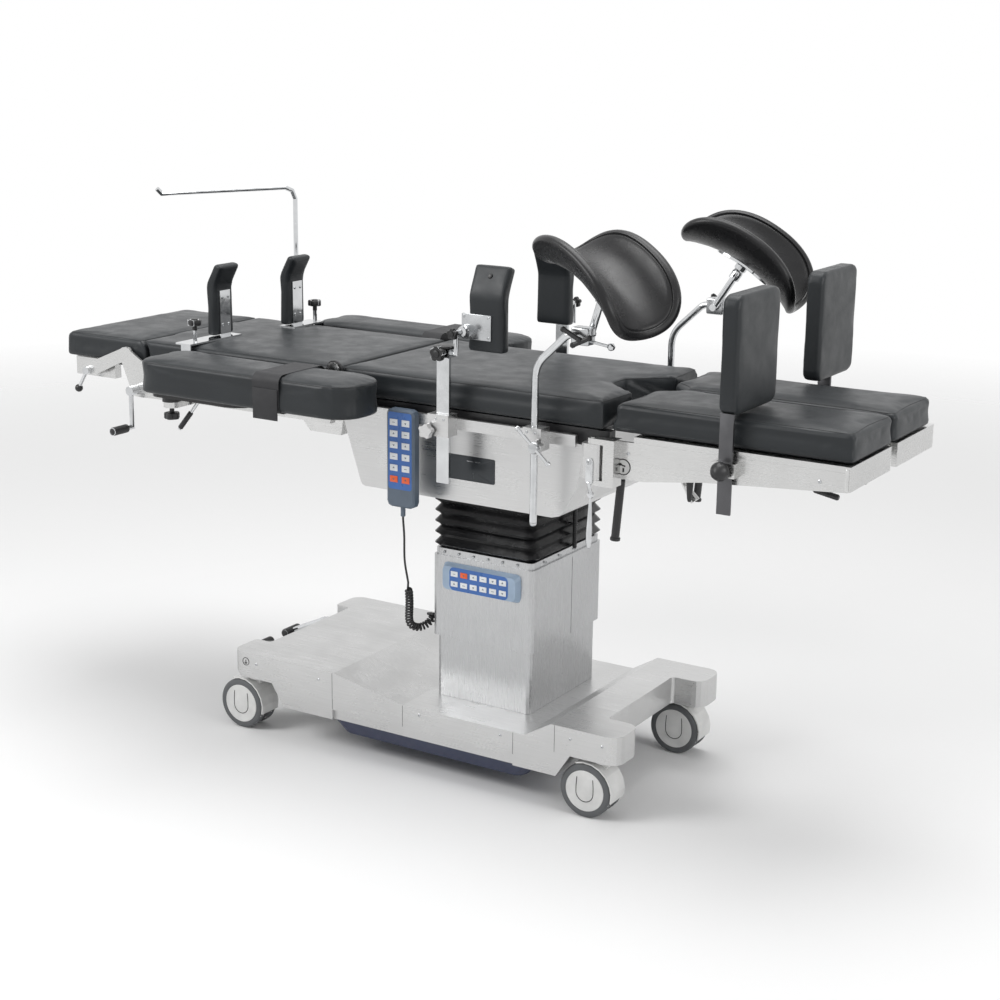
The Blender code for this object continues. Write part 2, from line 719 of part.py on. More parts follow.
# Rail clamps and what they hold.
CLAMP_JAW, CLAMP_REACH, CLAMP_Z = 0.006, 0.036, (0.823, 0.872)
KNOB_RADIUS, KNOB_THICKNESS, KNOB_LOBES, KNOB_DIP, KNOB_STEM = 0.017, 0.014, 5, 0.0035, 0.005
POST_Y = 0.270
POST_RADIUS = 0.008
SIDE_POST_HALF_X, SIDE_POST_HALF_Y = 0.016, 0.004
SIDE_POST_X = {"near": 0.121, "far": 0.108}
SIDE_POST_Z = (0.716, 1.000)
SIDE_ARM_X, SIDE_ARM_Z, SIDE_BALL = 0.030, 0.052, 0.013
SIDE_PAD_HALF_X, SIDE_PAD_HEIGHT, SIDE_PAD_THICKNESS, SIDE_PAD_LEAN = 0.046, 0.190, 0.030, 0.030
SIDE_PAD_BEND, SIDE_PAD_DROP, SIDE_PAD_SHIFT = 0.128, 0.045, {"near": 0.046, "far": -0.016}
SIDE_PLATE_HALF, SIDE_PLATE_RAISE = (0.016, 0.028), 0.010
LEG_POST_X = {"near": 0.352, "far": 0.402}
LEG_POST_Z = (0.652, 1.005)
LEG_CLAMP_HALF = 0.020
LEG_POST_LEAN = (0.078, 0.073)
LEG_POST_ARM, LEG_CLAMP_RADIUS, LEG_CLAMP_WIDTH = 0.030, 0.017, 0.030
LEG_LEVER, LEG_LEVER_RADIUS, LEG_LEVER_BALL = 0.075, 0.0045, 0.010


def saddle_housing():
    low = BELLOWS_TOP_Z
    head, foot = HOUSING_HEAD_X, HOUSING_FOOT_X
    outline = [
        (head[0], HOUSING_TOP_Z),
        (head[0], HOUSING_HEAD_Z),
        (head[1], low),
        (foot[2], low),
        (foot[1], HOUSING_FOOT_Z),
        (foot[0], HOUSING_TOP_Z),
    ]
    outline = rounded(outline, [0, HOUSING_CORNER, HOUSING_CORNER, 3 * HOUSING_CORNER, HOUSING_CORNER, 0])
    shell = prism(outline, "y", *around(0, HOUSING_HALF_Y))
    cavity = block(
        around(COLUMN_X, CAVITY_HALF_X), around(0, CAVITY_HALF_Y), (low - OVERRUN, CAVITY_TOP_Z)
    )
    shell = cut(shell, cavity)
    cheeks = []
    for way in NEAR, FAR:
        span = sorted((way * CHEEK_Y, way * (CHEEK_Y + CHEEK_THICKNESS)))
        cheeks.append(
            block(around(COLUMN_X, CHEEK_HALF_X), span, (PIVOT_Z - CHEEK_DROP, CAVITY_TOP_Z + SINK))
        )
    reach = CHEEK_Y + CHEEK_THICKNESS + SINK
    bore = drum("y", (COLUMN_X, PIVOT_Z), bored(GIMBAL_PIN), *around(0, reach))
    piece("saddle_housing", "table", brushed_steel(), cut(fused(shell, *cheeks), bore))


def cutout_plan(end_x, margin):
    """The perineal cut-out, open at the seat's foot end."""
    root = end_x - CUTOUT_DEPTH - margin
    mouth, narrow = CUTOUT_MOUTH + margin, CUTOUT_ROOT + margin
    outline = [(end_x + OVERRUN, -mouth), (end_x + OVERRUN, mouth), (end_x, mouth), (root, narrow)]
    outline += [(root, -narrow), (end_x, -mouth)]
    return rounded(outline, [0, 0, CUTOUT_CORNER, CUTOUT_CORNER, CUTOUT_CORNER, CUTOUT_CORNER])


def seat_frame():
    top = PAD_UNDER_Z - SEAT
    plate = block((FRAME_HEAD_X, FRAME_FOOT_X), around(0, FRAME_HALF_Y), (top - FRAME_PLATE, top))
    parts = []
    for way in NEAR, FAR:
        outer = way * FRAME_HALF_Y
        beam = sorted((outer, outer - way * BEAM_WIDTH))
        parts.append(block((FRAME_HEAD_X, FRAME_FOOT_X), beam, (BEAM_LOW_Z, top - SINK)))
        bracket = sorted((way * BRACKET_Y[0], way * (BRACKET_Y[1] - SEAT)))
        outline = rounded(
            rectangle(around(LEG_HINGE_X, BRACKET_HALF_X), (LEG_HINGE_Z - BRACKET_DROP, top - SINK)),
            [BRACKET_DROP / 2, BRACKET_DROP / 2, 0, 0],
        )
        parts.append(prism(outline, "y", *bracket))
        stub = sorted((way * BRACKET_Y[0], way * STUB_TIP_Y))
        parts.append(drum("y", (LEG_HINGE_X, LEG_HINGE_Z), STUB_RADIUS, *stub))
        plate_y = sorted((way * (FRAME_HALF_Y - SINK), way * (HINGE_PLATE_Y + HINGE_PLATE_THICKNESS)))
        hanger_x = (FRAME_HEAD_X + BEAM_WIDTH, HINGE_PLATE_X[1])
        parts.append(block(hanger_x, plate_y, (HINGE_PLATE_LOW_Z, top - FRAME_PLATE / 2)))
        lobe = [(HINGE_PLATE_X[1], HINGE_PLATE_LOW_Z), (HINGE_PLATE_X[1], top)]
        lobe += arc((BACK_HINGE_X, BACK_HINGE_Z), -HINGE_PLATE_X[0] + BACK_HINGE_X - SLIP, 20, 200, 8)
        span = sorted((way * HINGE_PLATE_Y, way * (HINGE_PLATE_Y + HINGE_PLATE_THICKNESS / 2 - SEAT)))
        parts.append(prism(lobe, "y", *span))
        pin = sorted((way * (HINGE_PLATE_Y + SINK), way * (HINGE_PLATE_Y + HINGE_PLATE_THICKNESS)))
        parts.append(drum("y", (BACK_HINGE_X, BACK_HINGE_Z), HINGE_PIN, *pin, ROD_SIDES))
    for x in CROSS_X:
        parts.append(
            block(
                around(x, CROSS_HALF), around(0, FRAME_HALF_Y - SINK), (HOUSING_TOP_Z + SEAT, top - SINK)
            )
        )
    frame = fused(plate, *parts)
    cutter = prism(
        cutout_plan(SEAT_FOOT_X, CUTOUT_MARGIN), "z", top - FRAME_PLATE - OVERRUN, top + OVERRUN
    )
    piece("seat_frame", "table", black_plastic(), cut(frame, cutter))


def knob(centre, side, along="y"):
    """A lobed knob on a stem, its face away from the rail."""
    outline = []
    for k in range(4 * KNOB_LOBES):
        radius = KNOB_RADIUS - (KNOB_DIP if k % 4 in (2, 3) else 0)
        angle = math.tau * k / (4 * KNOB_LOBES)
        outline.append((centre[0] + radius * math.cos(angle), centre[2] + radius * math.sin(angle)))
    face = centre[1]
    disc = prism(outline, along, *sorted((face, face + side * KNOB_THICKNESS)))
    stem = drum(
        along,
        (centre[0], centre[2]),
        KNOB_STEM,
        *sorted((face - side * KNOB_THICKNESS, face + side * SINK)),
        8,
    )
    return [disc, stem]


def clamp_on_rail(x_span, bore_outline, knob_x):
    """A block that hooks over the rail's outer face, with a bore for what stands in it."""
    outer = -RAIL_FACE_Y - CLAMP_REACH
    jaw = block(x_span, (outer, -RAIL_FACE_Y + SINK), CLAMP_Z)
    middle_z = RAIL_LOW_Z
    screw = knob((knob_x, outer - KNOB_STEM, middle_z), NEAR)
    return cut(fused(jaw, *screw), prism(bore_outline, "z", CLAMP_Z[0] - OVERRUN, CLAMP_Z[1] + OVERRUN))


def side_post_hole(x):
    fit_x, fit_y = SIDE_POST_HALF_X + SLIP, SIDE_POST_HALF_Y + SLIP
    return rectangle(around(x, fit_x), around(-POST_Y, fit_y))


def seat_rail(side):
    way = SIDES[side]
    rail = block(
        RAIL_X, (-RAIL_FACE_Y, -RAIL_FACE_Y + RAIL_THICKNESS), (RAIL_LOW_Z, RAIL_LOW_Z + RAIL_HEIGHT)
    )
    parts = []
    for x in SPACER_X:
        low = RAIL_LOW_Z + SPACER_EDGE
        spacer_z = (low, low + RAIL_HEIGHT - 2 * SPACER_EDGE)
        span = (-RAIL_FACE_Y + RAIL_THICKNESS - SINK, -FRAME_HALF_Y - SEAT)
        parts.append(block(around(x, SPACER_HALF), span, spacer_z))
    x = SIDE_POST_X[side]
    grip = SIDE_POST_HALF_X + CLAMP_JAW
    knob_x = x - grip - KNOB_STEM
    parts.append(clamp_on_rail((knob_x - KNOB_STEM, x + grip), side_post_hole(x), knob_x))
    x = LEG_POST_X[side]
    hole = circle((x, -POST_Y), POST_RADIUS + SLIP, ROD_SIDES)
    leg_knob_x = x + LEG_CLAMP_HALF
    parts.append(clamp_on_rail((x - LEG_CLAMP_HALF, leg_knob_x + KNOB_STEM), hole, leg_knob_x))
    piece(f"seat_rail_{side}", "table", brushed_steel(), on_side(fused(rail, *parts), way))


def side_support(side):
    """A flat bar in the rail clamp with a bent rod at its top, and a tilting body pad on the rod."""
    way, x = SIDES[side], SIDE_POST_X[side]
    low, high = SIDE_POST_Z
    body(f"side_post_{side}", "table", (x, way * POST_Y, RAIL_LOW_Z))
    tip = (x + SIDE_ARM_X, -POST_Y + SIDE_ARM_X, high + SIDE_ARM_Z)
    body(f"side_pad_{side}", f"side_post_{side}", (tip[0], way * -tip[1], tip[2]))
    bar = block(around(x, SIDE_POST_HALF_X), around(-POST_Y, SIDE_POST_HALF_Y), (low, high))
    head = block(
        around(x, SIDE_POST_HALF_X + CLAMP_JAW),
        around(-POST_Y, 3 * SIDE_POST_HALF_Y),
        (high - SINK, high + KNOB_RADIUS),
    )
    rod = tube(
        [
            (x, -POST_Y, high + KNOB_RADIUS / 2),
            (tip[0], -POST_Y, high + KNOB_RADIUS / 2),
            (tip[0], -POST_Y, tip[2]),
            tip,
        ],
        POST_RADIUS * 0.75,
    )
    turn = knob((x, -POST_Y - 3 * SIDE_POST_HALF_Y - KNOB_STEM, high + KNOB_RADIUS / 2), NEAR)
    joint = ball(tip, SIDE_BALL, "y")
    piece(
        f"side_post_{side}",
        f"side_post_{side}",
        chrome(),
        on_side(fused(bar, head, rod, joint, *turn), way),
    )
    side_pad(side, tip)


def side_pad(side, tip):
    """A moulded pad bent inwards over its upper third, on a steel plate that hangs on the rod's ball."""
    way = SIDES[side]
    back = tip[1] + KNOB_RADIUS
    middle_x = tip[0] + SIDE_PAD_SHIFT[side]
    pad_x = around(middle_x, SIDE_PAD_HALF_X)
    low = tip[2] - SIDE_PAD_DROP
    bend, top = low + SIDE_PAD_BEND, low + SIDE_PAD_HEIGHT
    outline = [(back, low), (back, bend), (back + SIDE_PAD_LEAN, top)]
    outline += [
        (back + SIDE_PAD_LEAN + SIDE_PAD_THICKNESS, top - PAD_EDGE),
        (back + SIDE_PAD_THICKNESS, bend),
        (back + SIDE_PAD_THICKNESS, low),
    ]
    radius = PAD_EDGE / 2
    rings = []
    for x, inset in (
        (pad_x[0], radius), (pad_x[0] + radius, 0), (pad_x[1] - radius, 0), (pad_x[1], radius)
    ):
        shape = rounded([(y, z) for y, z in outline], PAD_EDGE)
        middle_y = back + SIDE_PAD_THICKNESS / 2 + SIDE_PAD_LEAN / 2
        middle_z = (low + top) / 2
        share = 1 - inset / SIDE_PAD_BEND
        rings.append(
            [(x, middle_y + (y - middle_y) * share, middle_z + (z - middle_z) * share)
            for y, z in shape]
        )
    half_x, half_z = SIDE_PLATE_HALF
    plate_x = (min(tip[0] - SIDE_BALL, middle_x - half_x), max(tip[0] + SIDE_BALL, middle_x + half_x))
    plate_z = around(tip[2] + SIDE_PLATE_RAISE, half_z)
    plate = block(plate_x, (back - SIDE_POST_HALF_Y, back + PAD_EDGE / 2), plate_z)
    socket = drum("y", (tip[0], tip[2]), POST_RADIUS, tip[1] + SIDE_BALL + SEAT, back)
    piece(
        f"side_pad_{side}",
        f"side_pad_{side}",
        leatherette(),
        on_side(fused(loft(rings), plate, socket), way),
    )


def leg_post(side):
    way, x = SIDES[side], LEG_POST_X[side]
    low, high = LEG_POST_Z
    body(f"leg_post_{side}", "table", (x, way * POST_Y, RAIL_LOW_Z))
    elbow = (x + LEG_POST_LEAN[0], -POST_Y, high + LEG_POST_LEAN[1])
    end = (elbow[0] + LEG_POST_ARM, -POST_Y, elbow[2])
    rod = tube([(x, -POST_Y, low), (x, -POST_Y, high), elbow, end], POST_RADIUS)
    centre = (end[0] + LEG_CLAMP_RADIUS / 2, end[2])
    jaw = drum("y", centre, LEG_CLAMP_RADIUS, *around(-POST_Y, LEG_CLAMP_WIDTH / 2))
    lever = tube(
        [
            (centre[0], -POST_Y, centre[1] - LEG_CLAMP_RADIUS / 2),
            (centre[0] + LEG_LEVER, -POST_Y, centre[1] - LEG_CLAMP_RADIUS),
        ],
        LEG_LEVER_RADIUS,
        8,
    )
    grip = ball((centre[0] + LEG_LEVER, -POST_Y, centre[1] - LEG_CLAMP_RADIUS), LEG_LEVER_BALL)
    bore = drum("y", centre, bored(POST_RADIUS), *around(-POST_Y, LEG_CLAMP_WIDTH))
    piece(
        f"leg_post_{side}",
        f"leg_post_{side}",
        chrome(),
        on_side(cut(fused(rod, jaw, lever, grip), bore), way),
    )
    body(f"leg_rest_{side}", f"leg_post_{side}", (centre[0], way * POST_Y, centre[1]))
    leg_rest(side, centre)


# Leg rests: moulded saddles, round across the calf and arched along it.
SADDLE_LENGTH, SADDLE_WIDTH, SADDLE_THICKNESS = 0.315, 0.275, 0.022
SADDLE_TROUGH, SADDLE_ARCH = 0.105, 0.330
SADDLE_PITCH = {"near": math.radians(26), "far": math.radians(31)}
SADDLE_TURN = {"near": math.radians(-22), "far": math.radians(-8)}
SADDLE_RAISE = {"near": (0.040, 0.113), "far": (0.068, 0.110)}
SADDLE_SIDES = 28
SADDLE_SQUARE = 2.8


def saddle_point(u, v, lift):
    """A point of the bent sheet; u runs along the leg, v across it, and lift is over the middle."""
    across = v / SADDLE_TROUGH
    along = u / SADDLE_ARCH
    radius = SADDLE_TROUGH - lift
    y = radius * math.sin(across)
    z = SADDLE_TROUGH - radius * math.cos(across)
    return Vector(
        ((SADDLE_ARCH + z) * math.sin(along), y, (SADDLE_ARCH + z) * math.cos(along) - SADDLE_ARCH)
    )


def saddle_ring(share, lift):
    ring = []
    for k in range(SADDLE_SIDES):
        angle = math.tau * k / SADDLE_SIDES
        c, s = math.cos(angle), math.sin(angle)
        reach = (abs(c) ** SADDLE_SQUARE + abs(s) ** SADDLE_SQUARE) ** (-1 / SADDLE_SQUARE)
        u, v = share * reach * c * SADDLE_LENGTH / 2, share * reach * s * SADDLE_WIDTH / 2
        ring.append(saddle_point(u, v, lift))
    return ring


def saddle():
    half = SADDLE_THICKNESS / 2
    edge_share = 1 - half / SADDLE_LENGTH * 2
    inner_shares = (0.04, 0.35, 0.66)
    rings = [saddle_ring(share, -half) for share in (*inner_shares, edge_share)]
    rings.append(saddle_ring(1, 0))
    rings += [saddle_ring(share, half) for share in (edge_share, *inner_shares[::-1])]
    return loft(rings)


def leg_rest(side, centre):
    """The saddle on its stem, pitched down towards the foot and turned about the post."""
    way = SIDES[side]
    turn = Matrix.Rotation(SADDLE_TURN[side], 4, "Z") @ Matrix.Rotation(SADDLE_PITCH[side], 4, "Y")
    ahead, raised = SADDLE_RAISE[side]
    foot = Vector((centre[0] + ahead, -POST_Y, centre[1] + raised))
    rest = moved(saddle(), Matrix.Translation(foot) @ turn)
    inner = -POST_Y + LEG_CLAMP_WIDTH / 2 + POST_RADIUS + 4 * SLIP
    start = (centre[0], inner + POST_RADIUS, centre[1])
    pin = tube([(centre[0], -POST_Y - LEG_CLAMP_WIDTH / 2, centre[1]), start], POST_RADIUS)
    stem = tube(
        [(centre[0], inner, centre[1]), tuple(foot + Vector((0, LEG_CLAMP_WIDTH / 2, 0)))], POST_RADIUS
    )
    piece(f"leg_rest_{side}", f"leg_rest_{side}", saddle_foam(), on_side(fused(rest, stem, pin), way))


# Cushions.

HEAD_BARREL, HEAD_BARREL_GAP = 0.055, 0.003
BACK_END_SLANT = math.radians(10.5)
HEAD_PAD_NOSE = 0.014
BARREL_STEPS = 6
ARM_HALF_WIDTH, ARM_INNER_Y = 0.084, 0.252
ARM_X, ARM_LOW_Z = (-0.645, -0.030), 0.855
ARM_HEAD_CORNER, ARM_FOOT_CORNER = 0.040, 0.070
ARM_PIVOT_X = -0.605
ARM_Y = ARM_INNER_Y + ARM_HALF_WIDTH
STRAP_X, STRAP_RISE = (-0.290, -0.215), 0.0015
LEG_PAD_LOW_X, LEG_PAD_LEAN, LEG_PAD_CHAMFER, LEG_PAD_INNER_Y = 0.507, 0.012, 0.055, 0.002
LEG_PAD_CORNER = 0.012


def shrunk(outline, inset):
    """The outline drawn in towards its middle, by the inset at its widest."""
    us, vs = [u for u, _ in outline], [v for _, v in outline]
    half_u, half_v = (max(us) - min(us)) / 2, (max(vs) - min(vs)) / 2
    mid_u, mid_v = min(us) + half_u, min(vs) + half_v
    share_u, share_v = 1 - inset / half_u, 1 - inset / half_v
    return [(mid_u + (u - mid_u) * share_u, mid_v + (v - mid_v) * share_v) for u, v in outline]


def long_pad(profile, half_width):
    """A pad of one side profile across its width, with rolled edges, drawn-in ends and a crown."""
    stations = [
        (-half_width + PAD_DRAWN_IN, 3 * PAD_EDGE, 0),
        (-half_width, PAD_EDGE, 0),
        (-half_width + PAD_EDGE / 4, PAD_EDGE / 4, 0),
        (-half_width + PAD_EDGE, 0, 0),
        (-half_width / 2, 0, PAD_CROWN),
    ]
    stations += [(-y, inset, crown) for y, inset, crown in reversed(stations)]
    rings = []
    for y, inset, crown in stations:
        ring = []
        for x, z in shrunk(profile, inset):
            high = max(0, (z - PAD_UNDER_Z) / PAD_THICKNESS)
            ring.append((x, y, z + (crown - PAD_CROWN) * high))
        rings.append(ring)
    return loft(rings)


def cushion(outline, low, high, lean=0.0):
    """A pad of one plan outline, with rolled edges and a crown; lean shifts its -X end as it rises."""
    tall = high - low
    far_u = max(u for u, _ in outline)
    near_u = min(u for u, _ in outline)
    levels = [
        (low, PAD_EDGE / 2),
        (low + PAD_EDGE / 2, 0),
        (low + tall / 2, PAD_DRAWN_IN),
        (high - PAD_CROWN - PAD_EDGE, 0),
        (high - PAD_CROWN - PAD_EDGE / 4, PAD_EDGE / 4),
        (high - PAD_CROWN, PAD_EDGE),
        (high, 4 * PAD_EDGE),
    ]
    rings = []
    for z, inset in levels:
        ring = []
        for u, v in shrunk(outline, inset):
            shift = lean * (z - low) / tall * (far_u - u) / (far_u - near_u)
            ring.append((u + shift, v, z))
        rings.append(ring)
    return loft(rings)


def barrel_arc(radius, top, low):
    first = math.degrees(math.asin((top - HEAD_HINGE_Z) / radius))
    last = math.degrees(math.asin((low - HEAD_HINGE_Z) / radius))
    return arc((HEAD_HINGE_X, HEAD_HINGE_Z), radius, first, last, BARREL_STEPS)


def head_pad():
    """Its hinge end is a barrel about the head hinge."""
    nose = rounded(
        [
            (HEAD_HINGE_X, PAD_UNDER_Z),
            (HEAD_END_X, PAD_UNDER_Z),
            (HEAD_END_X, TOP_Z),
            (HEAD_HINGE_X, TOP_Z),
        ],
        [0, HEAD_PAD_NOSE / 2, HEAD_PAD_NOSE, 0],
    )
    profile = barrel_arc(HEAD_BARREL, TOP_Z, PAD_UNDER_Z) + nose[1:-1]
    piece("head_pad", "head", leatherette(), long_pad(profile, PAD_HALF_WIDTH))


def back_pad():
    """Hollow round the head pad's barrel, and turned round the hinge axis at its seat end."""
    hollow = barrel_arc(HEAD_BARREL + HEAD_BARREL_GAP, TOP_Z, PAD_UNDER_Z)
    slant = math.degrees(BACK_END_SLANT)
    end = arc((BACK_HINGE_X, BACK_HINGE_Z), BACK_HINGE_DROP, -slant, 90, CORNER_STEPS)
    drop = end[0][1] - PAD_UNDER_Z
    foot = (end[0][0] - drop * math.tan(BACK_END_SLANT), PAD_UNDER_Z)
    profile = hollow + [foot] + end
    piece("back_pad", "back", leatherette(), long_pad(profile, PAD_HALF_WIDTH))


def seat_pad():
    """One plan outline with the cut-out in its foot end, drawn in along its top edge."""
    cutout = cutout_plan(SEAT_FOOT_X, 0)[2:]
    outline = [(SEAT_HEAD_X, -PAD_HALF_WIDTH), (SEAT_FOOT_X, -PAD_HALF_WIDTH), *reversed(cutout)]
    outline += [(SEAT_FOOT_X, PAD_HALF_WIDTH), (SEAT_HEAD_X, PAD_HALF_WIDTH)]
    levels = (
        (PAD_UNDER_Z, 0), (TOP_Z - PAD_EDGE, 0), (TOP_Z - PAD_EDGE / 4, PAD_EDGE / 4), (TOP_Z, PAD_EDGE)
    )
    rings = [[(x, y, z) for x, y in shrunk(outline, inset)] for z, inset in levels]
    piece("seat_pad", "table", leatherette(), loft(rings))


def leg_pad(side):
    outline = [
        (LEG_PAD_LOW_X, -PAD_HALF_WIDTH),
        (FOOT_END_X, -PAD_HALF_WIDTH),
        (FOOT_END_X, -LEG_PAD_INNER_Y),
        (LEG_PAD_LOW_X + LEG_PAD_CHAMFER, -LEG_PAD_INNER_Y),
        (LEG_PAD_LOW_X, -LEG_PAD_CHAMFER),
    ]
    pad = cushion(rounded(outline, LEG_PAD_CORNER), PAD_UNDER_Z, TOP_Z, LEG_PAD_LEAN)
    piece(f"leg_pad_{side}", f"leg_{side}", leatherette(), on_side(pad, SIDES[side]))


# Back section.

BACK_BEAM_Y, BACK_BEAM_LOW_Z, BACK_BEAM_X = (0.212, 0.2318), 0.800, -0.740
BACK_PLATE_X, BACK_SLANT_X = (-0.755, -0.210), (-0.2045, -0.218)
BACK_CROSS_X = ((-0.360, -0.240), (-0.700, -0.640))
GUSSET_X, GUSSET_LOW_X, GUSSET_LOW_Z, GUSSET_HALF_Y = (-0.370, -0.232), (-0.330, -0.240), 0.757, 0.160
BACK_RAIL_X = (-0.725, -0.235)
BACK_SPACER_X = (-0.715, -0.450, -0.280)
LOBE_RADIUS, BACK_LOBE_X, BACK_SPACER_HALF = 0.018, -0.262, 0.015
SIDE_PLATE_Y, SIDE_PLATE = 0.2325, 0.006
HEAD_PIN = 0.007
CRANK_X = -0.800
CRANK_Z = 0.816
CRANK_STUB = 0.005
CRANK_LENGTH = 0.090
CRANK_HANDLE = 0.070
CRANK_ROD = 0.006
CRANK_BOSS, CRANK_BOSS_WIDTH, CRANK_GRIP = 0.012, 0.014, 0.010
ARM_BRACKET_HALF_X = 0.020
ARM_BRACKET_Z = (0.812, 0.8255)
ARM_BRACKET_JAW = 0.012
ARM_HUB = 0.022
ARM_PIN = 0.008
ARM_KNOB_DROP = 0.014
ARM_PLATE, ARM_PLATE_MARGIN, ARM_PLATE_FOOT_X = 0.008, 0.022, -0.330
SCREEN_X, SCREEN_Y, SCREEN_RADIUS = -0.700, 0.270, 0.006
SCREEN_Z, SCREEN_END, SCREEN_HOOK, SCREEN_BEND = (0.690, 1.280), (-0.843, -0.082), 0.012, 0.030
SCREEN_CLAMP_HALF = 0.016
SHOULDER_X = {"near": -0.643, "far": -0.600}
SHOULDER_Y = {"near": 0.083, "far": 0.150}
STRAP_Y, STRAP_PLATE, STRAP_HALF, STRAP_LOW_Z = 0.2336, 0.004, 0.015, 0.842
SHOULDER_PAD_X = (-0.034, -0.008)
SHOULDER_PAD_HALF = 0.038
SHOULDER_PAD_HEIGHT = 0.180
SHOULDER_PAD_BEND = 0.128
SHOULDER_LEAN, SHOULDER_KNOB_Z, SHOULDER_KNOB_Y = 0.030, 0.045, 0.120


def back_side_parts():
    """Beam, rail, hinge lobe, head hinge plate and arm bracket of the near side."""
    top = PAD_UNDER_Z - SEAT
    beam_outline = [
        (BACK_BEAM_X, BACK_BEAM_LOW_Z),
        (BACK_SLANT_X[1], BACK_BEAM_LOW_Z),
        (BACK_SLANT_X[0], top - SINK),
        (BACK_BEAM_X, top - SINK),
    ]
    beam = prism(beam_outline, "y", -BACK_BEAM_Y[1], -BACK_BEAM_Y[0])
    rail_inner = -RAIL_FACE_Y + RAIL_THICKNESS
    rail = block(BACK_RAIL_X, (-RAIL_FACE_Y, rail_inner), (RAIL_LOW_Z, RAIL_LOW_Z + RAIL_HEIGHT))
    low = RAIL_LOW_Z + SPACER_EDGE
    spacers = [
        block(
            around(x, SPACER_HALF / 2),
            (rail_inner - SINK, -BACK_BEAM_Y[1] + SINK),
            (low, low + RAIL_HEIGHT - 2 * SPACER_EDGE),
        )
        for x in BACK_SPACER_X
    ]
    lobe_in = HINGE_PLATE_Y + HINGE_PLATE_THICKNESS / 2
    lobe_out = HINGE_PLATE_Y + HINGE_PLATE_THICKNESS
    lobe = arc((BACK_HINGE_X, BACK_HINGE_Z), LOBE_RADIUS, -60, 130, 7)
    lobe += [
        (BACK_LOBE_X, RAIL_LOW_Z + RAIL_HEIGHT), (BACK_LOBE_X, low), (BACK_LOBE_X + 2 * SPACER_HALF, low)
    ]
    lobe_plate = prism(lobe, "y", -lobe_out, -lobe_in)
    lobe_block = block(
        (
            BACK_LOBE_X - BACK_SPACER_HALF, BACK_LOBE_X + SPACER_HALF
        ), (-lobe_out + SINK, -BACK_BEAM_Y[1] + SINK), (low, low + 2 * SPACER_HALF / 2)
    )
    outer_in = SIDE_PLATE_Y + SIDE_PLATE + SEAT
    joint = arc((HEAD_HINGE_X, HEAD_HINGE_Z), LOBE_RADIUS, 60, 210, 6)
    joint += arc((CRANK_X, CRANK_Z), LOBE_RADIUS, 190, 280, 3)
    joint += [
        (BACK_BEAM_X + 2 * SPACER_HALF, BACK_BEAM_LOW_Z),
        (BACK_BEAM_X + 2 * SPACER_HALF, low + SPACER_HALF),
    ]
    joint_plate = prism(joint, "y", -outer_in - SIDE_PLATE, -outer_in)
    joint_block = block(
        (
            BACK_BEAM_X, BACK_BEAM_X + 2 * SPACER_HALF
        ), (-outer_in - SINK, -BACK_BEAM_Y[1] + SINK), (BACK_BEAM_LOW_Z, low + SPACER_HALF / 2)
    )
    pin = drum("y", (HEAD_HINGE_X, HEAD_HINGE_Z), HEAD_PIN, -outer_in - SINK, -SIDE_PLATE_Y, ROD_SIDES)
    jaw_y = (-RAIL_FACE_Y - ARM_BRACKET_JAW, -RAIL_FACE_Y + SINK)
    jaw = block(
        around(ARM_PIVOT_X, ARM_BRACKET_HALF_X), jaw_y, (ARM_BRACKET_Z[0], RAIL_LOW_Z + RAIL_HEIGHT / 2)
    )
    bracket_outline = [
        (ARM_PIVOT_X - ARM_BRACKET_HALF_X, jaw_y[1]), (ARM_PIVOT_X + ARM_BRACKET_HALF_X, jaw_y[1])
    ]
    bracket_outline = arc((ARM_PIVOT_X, -ARM_Y), ARM_BRACKET_HALF_X, -180, 0, 6) + bracket_outline[::-1]
    bracket = prism(bracket_outline, "z", *ARM_BRACKET_Z)
    pivot = drum(
        "z", (ARM_PIVOT_X, -ARM_Y), ARM_PIN, ARM_BRACKET_Z[0], ARM_LOW_Z - ARM_PLATE - SINK, ROD_SIDES
    )
    star = star_knob((ARM_PIVOT_X, -ARM_Y), ARM_BRACKET_Z[0] - ARM_KNOB_DROP)
    return [
        beam,
        rail,
        *spacers,
        lobe_plate,
        lobe_block,
        joint_plate,
        joint_block,
        pin,
        jaw,
        bracket,
        pivot,
        *star,
    ]


def star_knob(centre, top):
    """A lobed knob that points down, and its stem."""
    outline = []
    for k in range(4 * KNOB_LOBES):
        radius = KNOB_RADIUS - (KNOB_DIP if k % 4 in (2, 3) else 0)
        angle = math.tau * k / (4 * KNOB_LOBES)
        outline.append((centre[0] + radius * math.cos(angle), centre[1] + radius * math.sin(angle)))
    disc = prism(outline, "z", top - KNOB_THICKNESS, top)
    stem = drum("z", centre, KNOB_STEM, top - SINK, top + ARM_KNOB_DROP + SINK, 8)
    return [disc, stem]


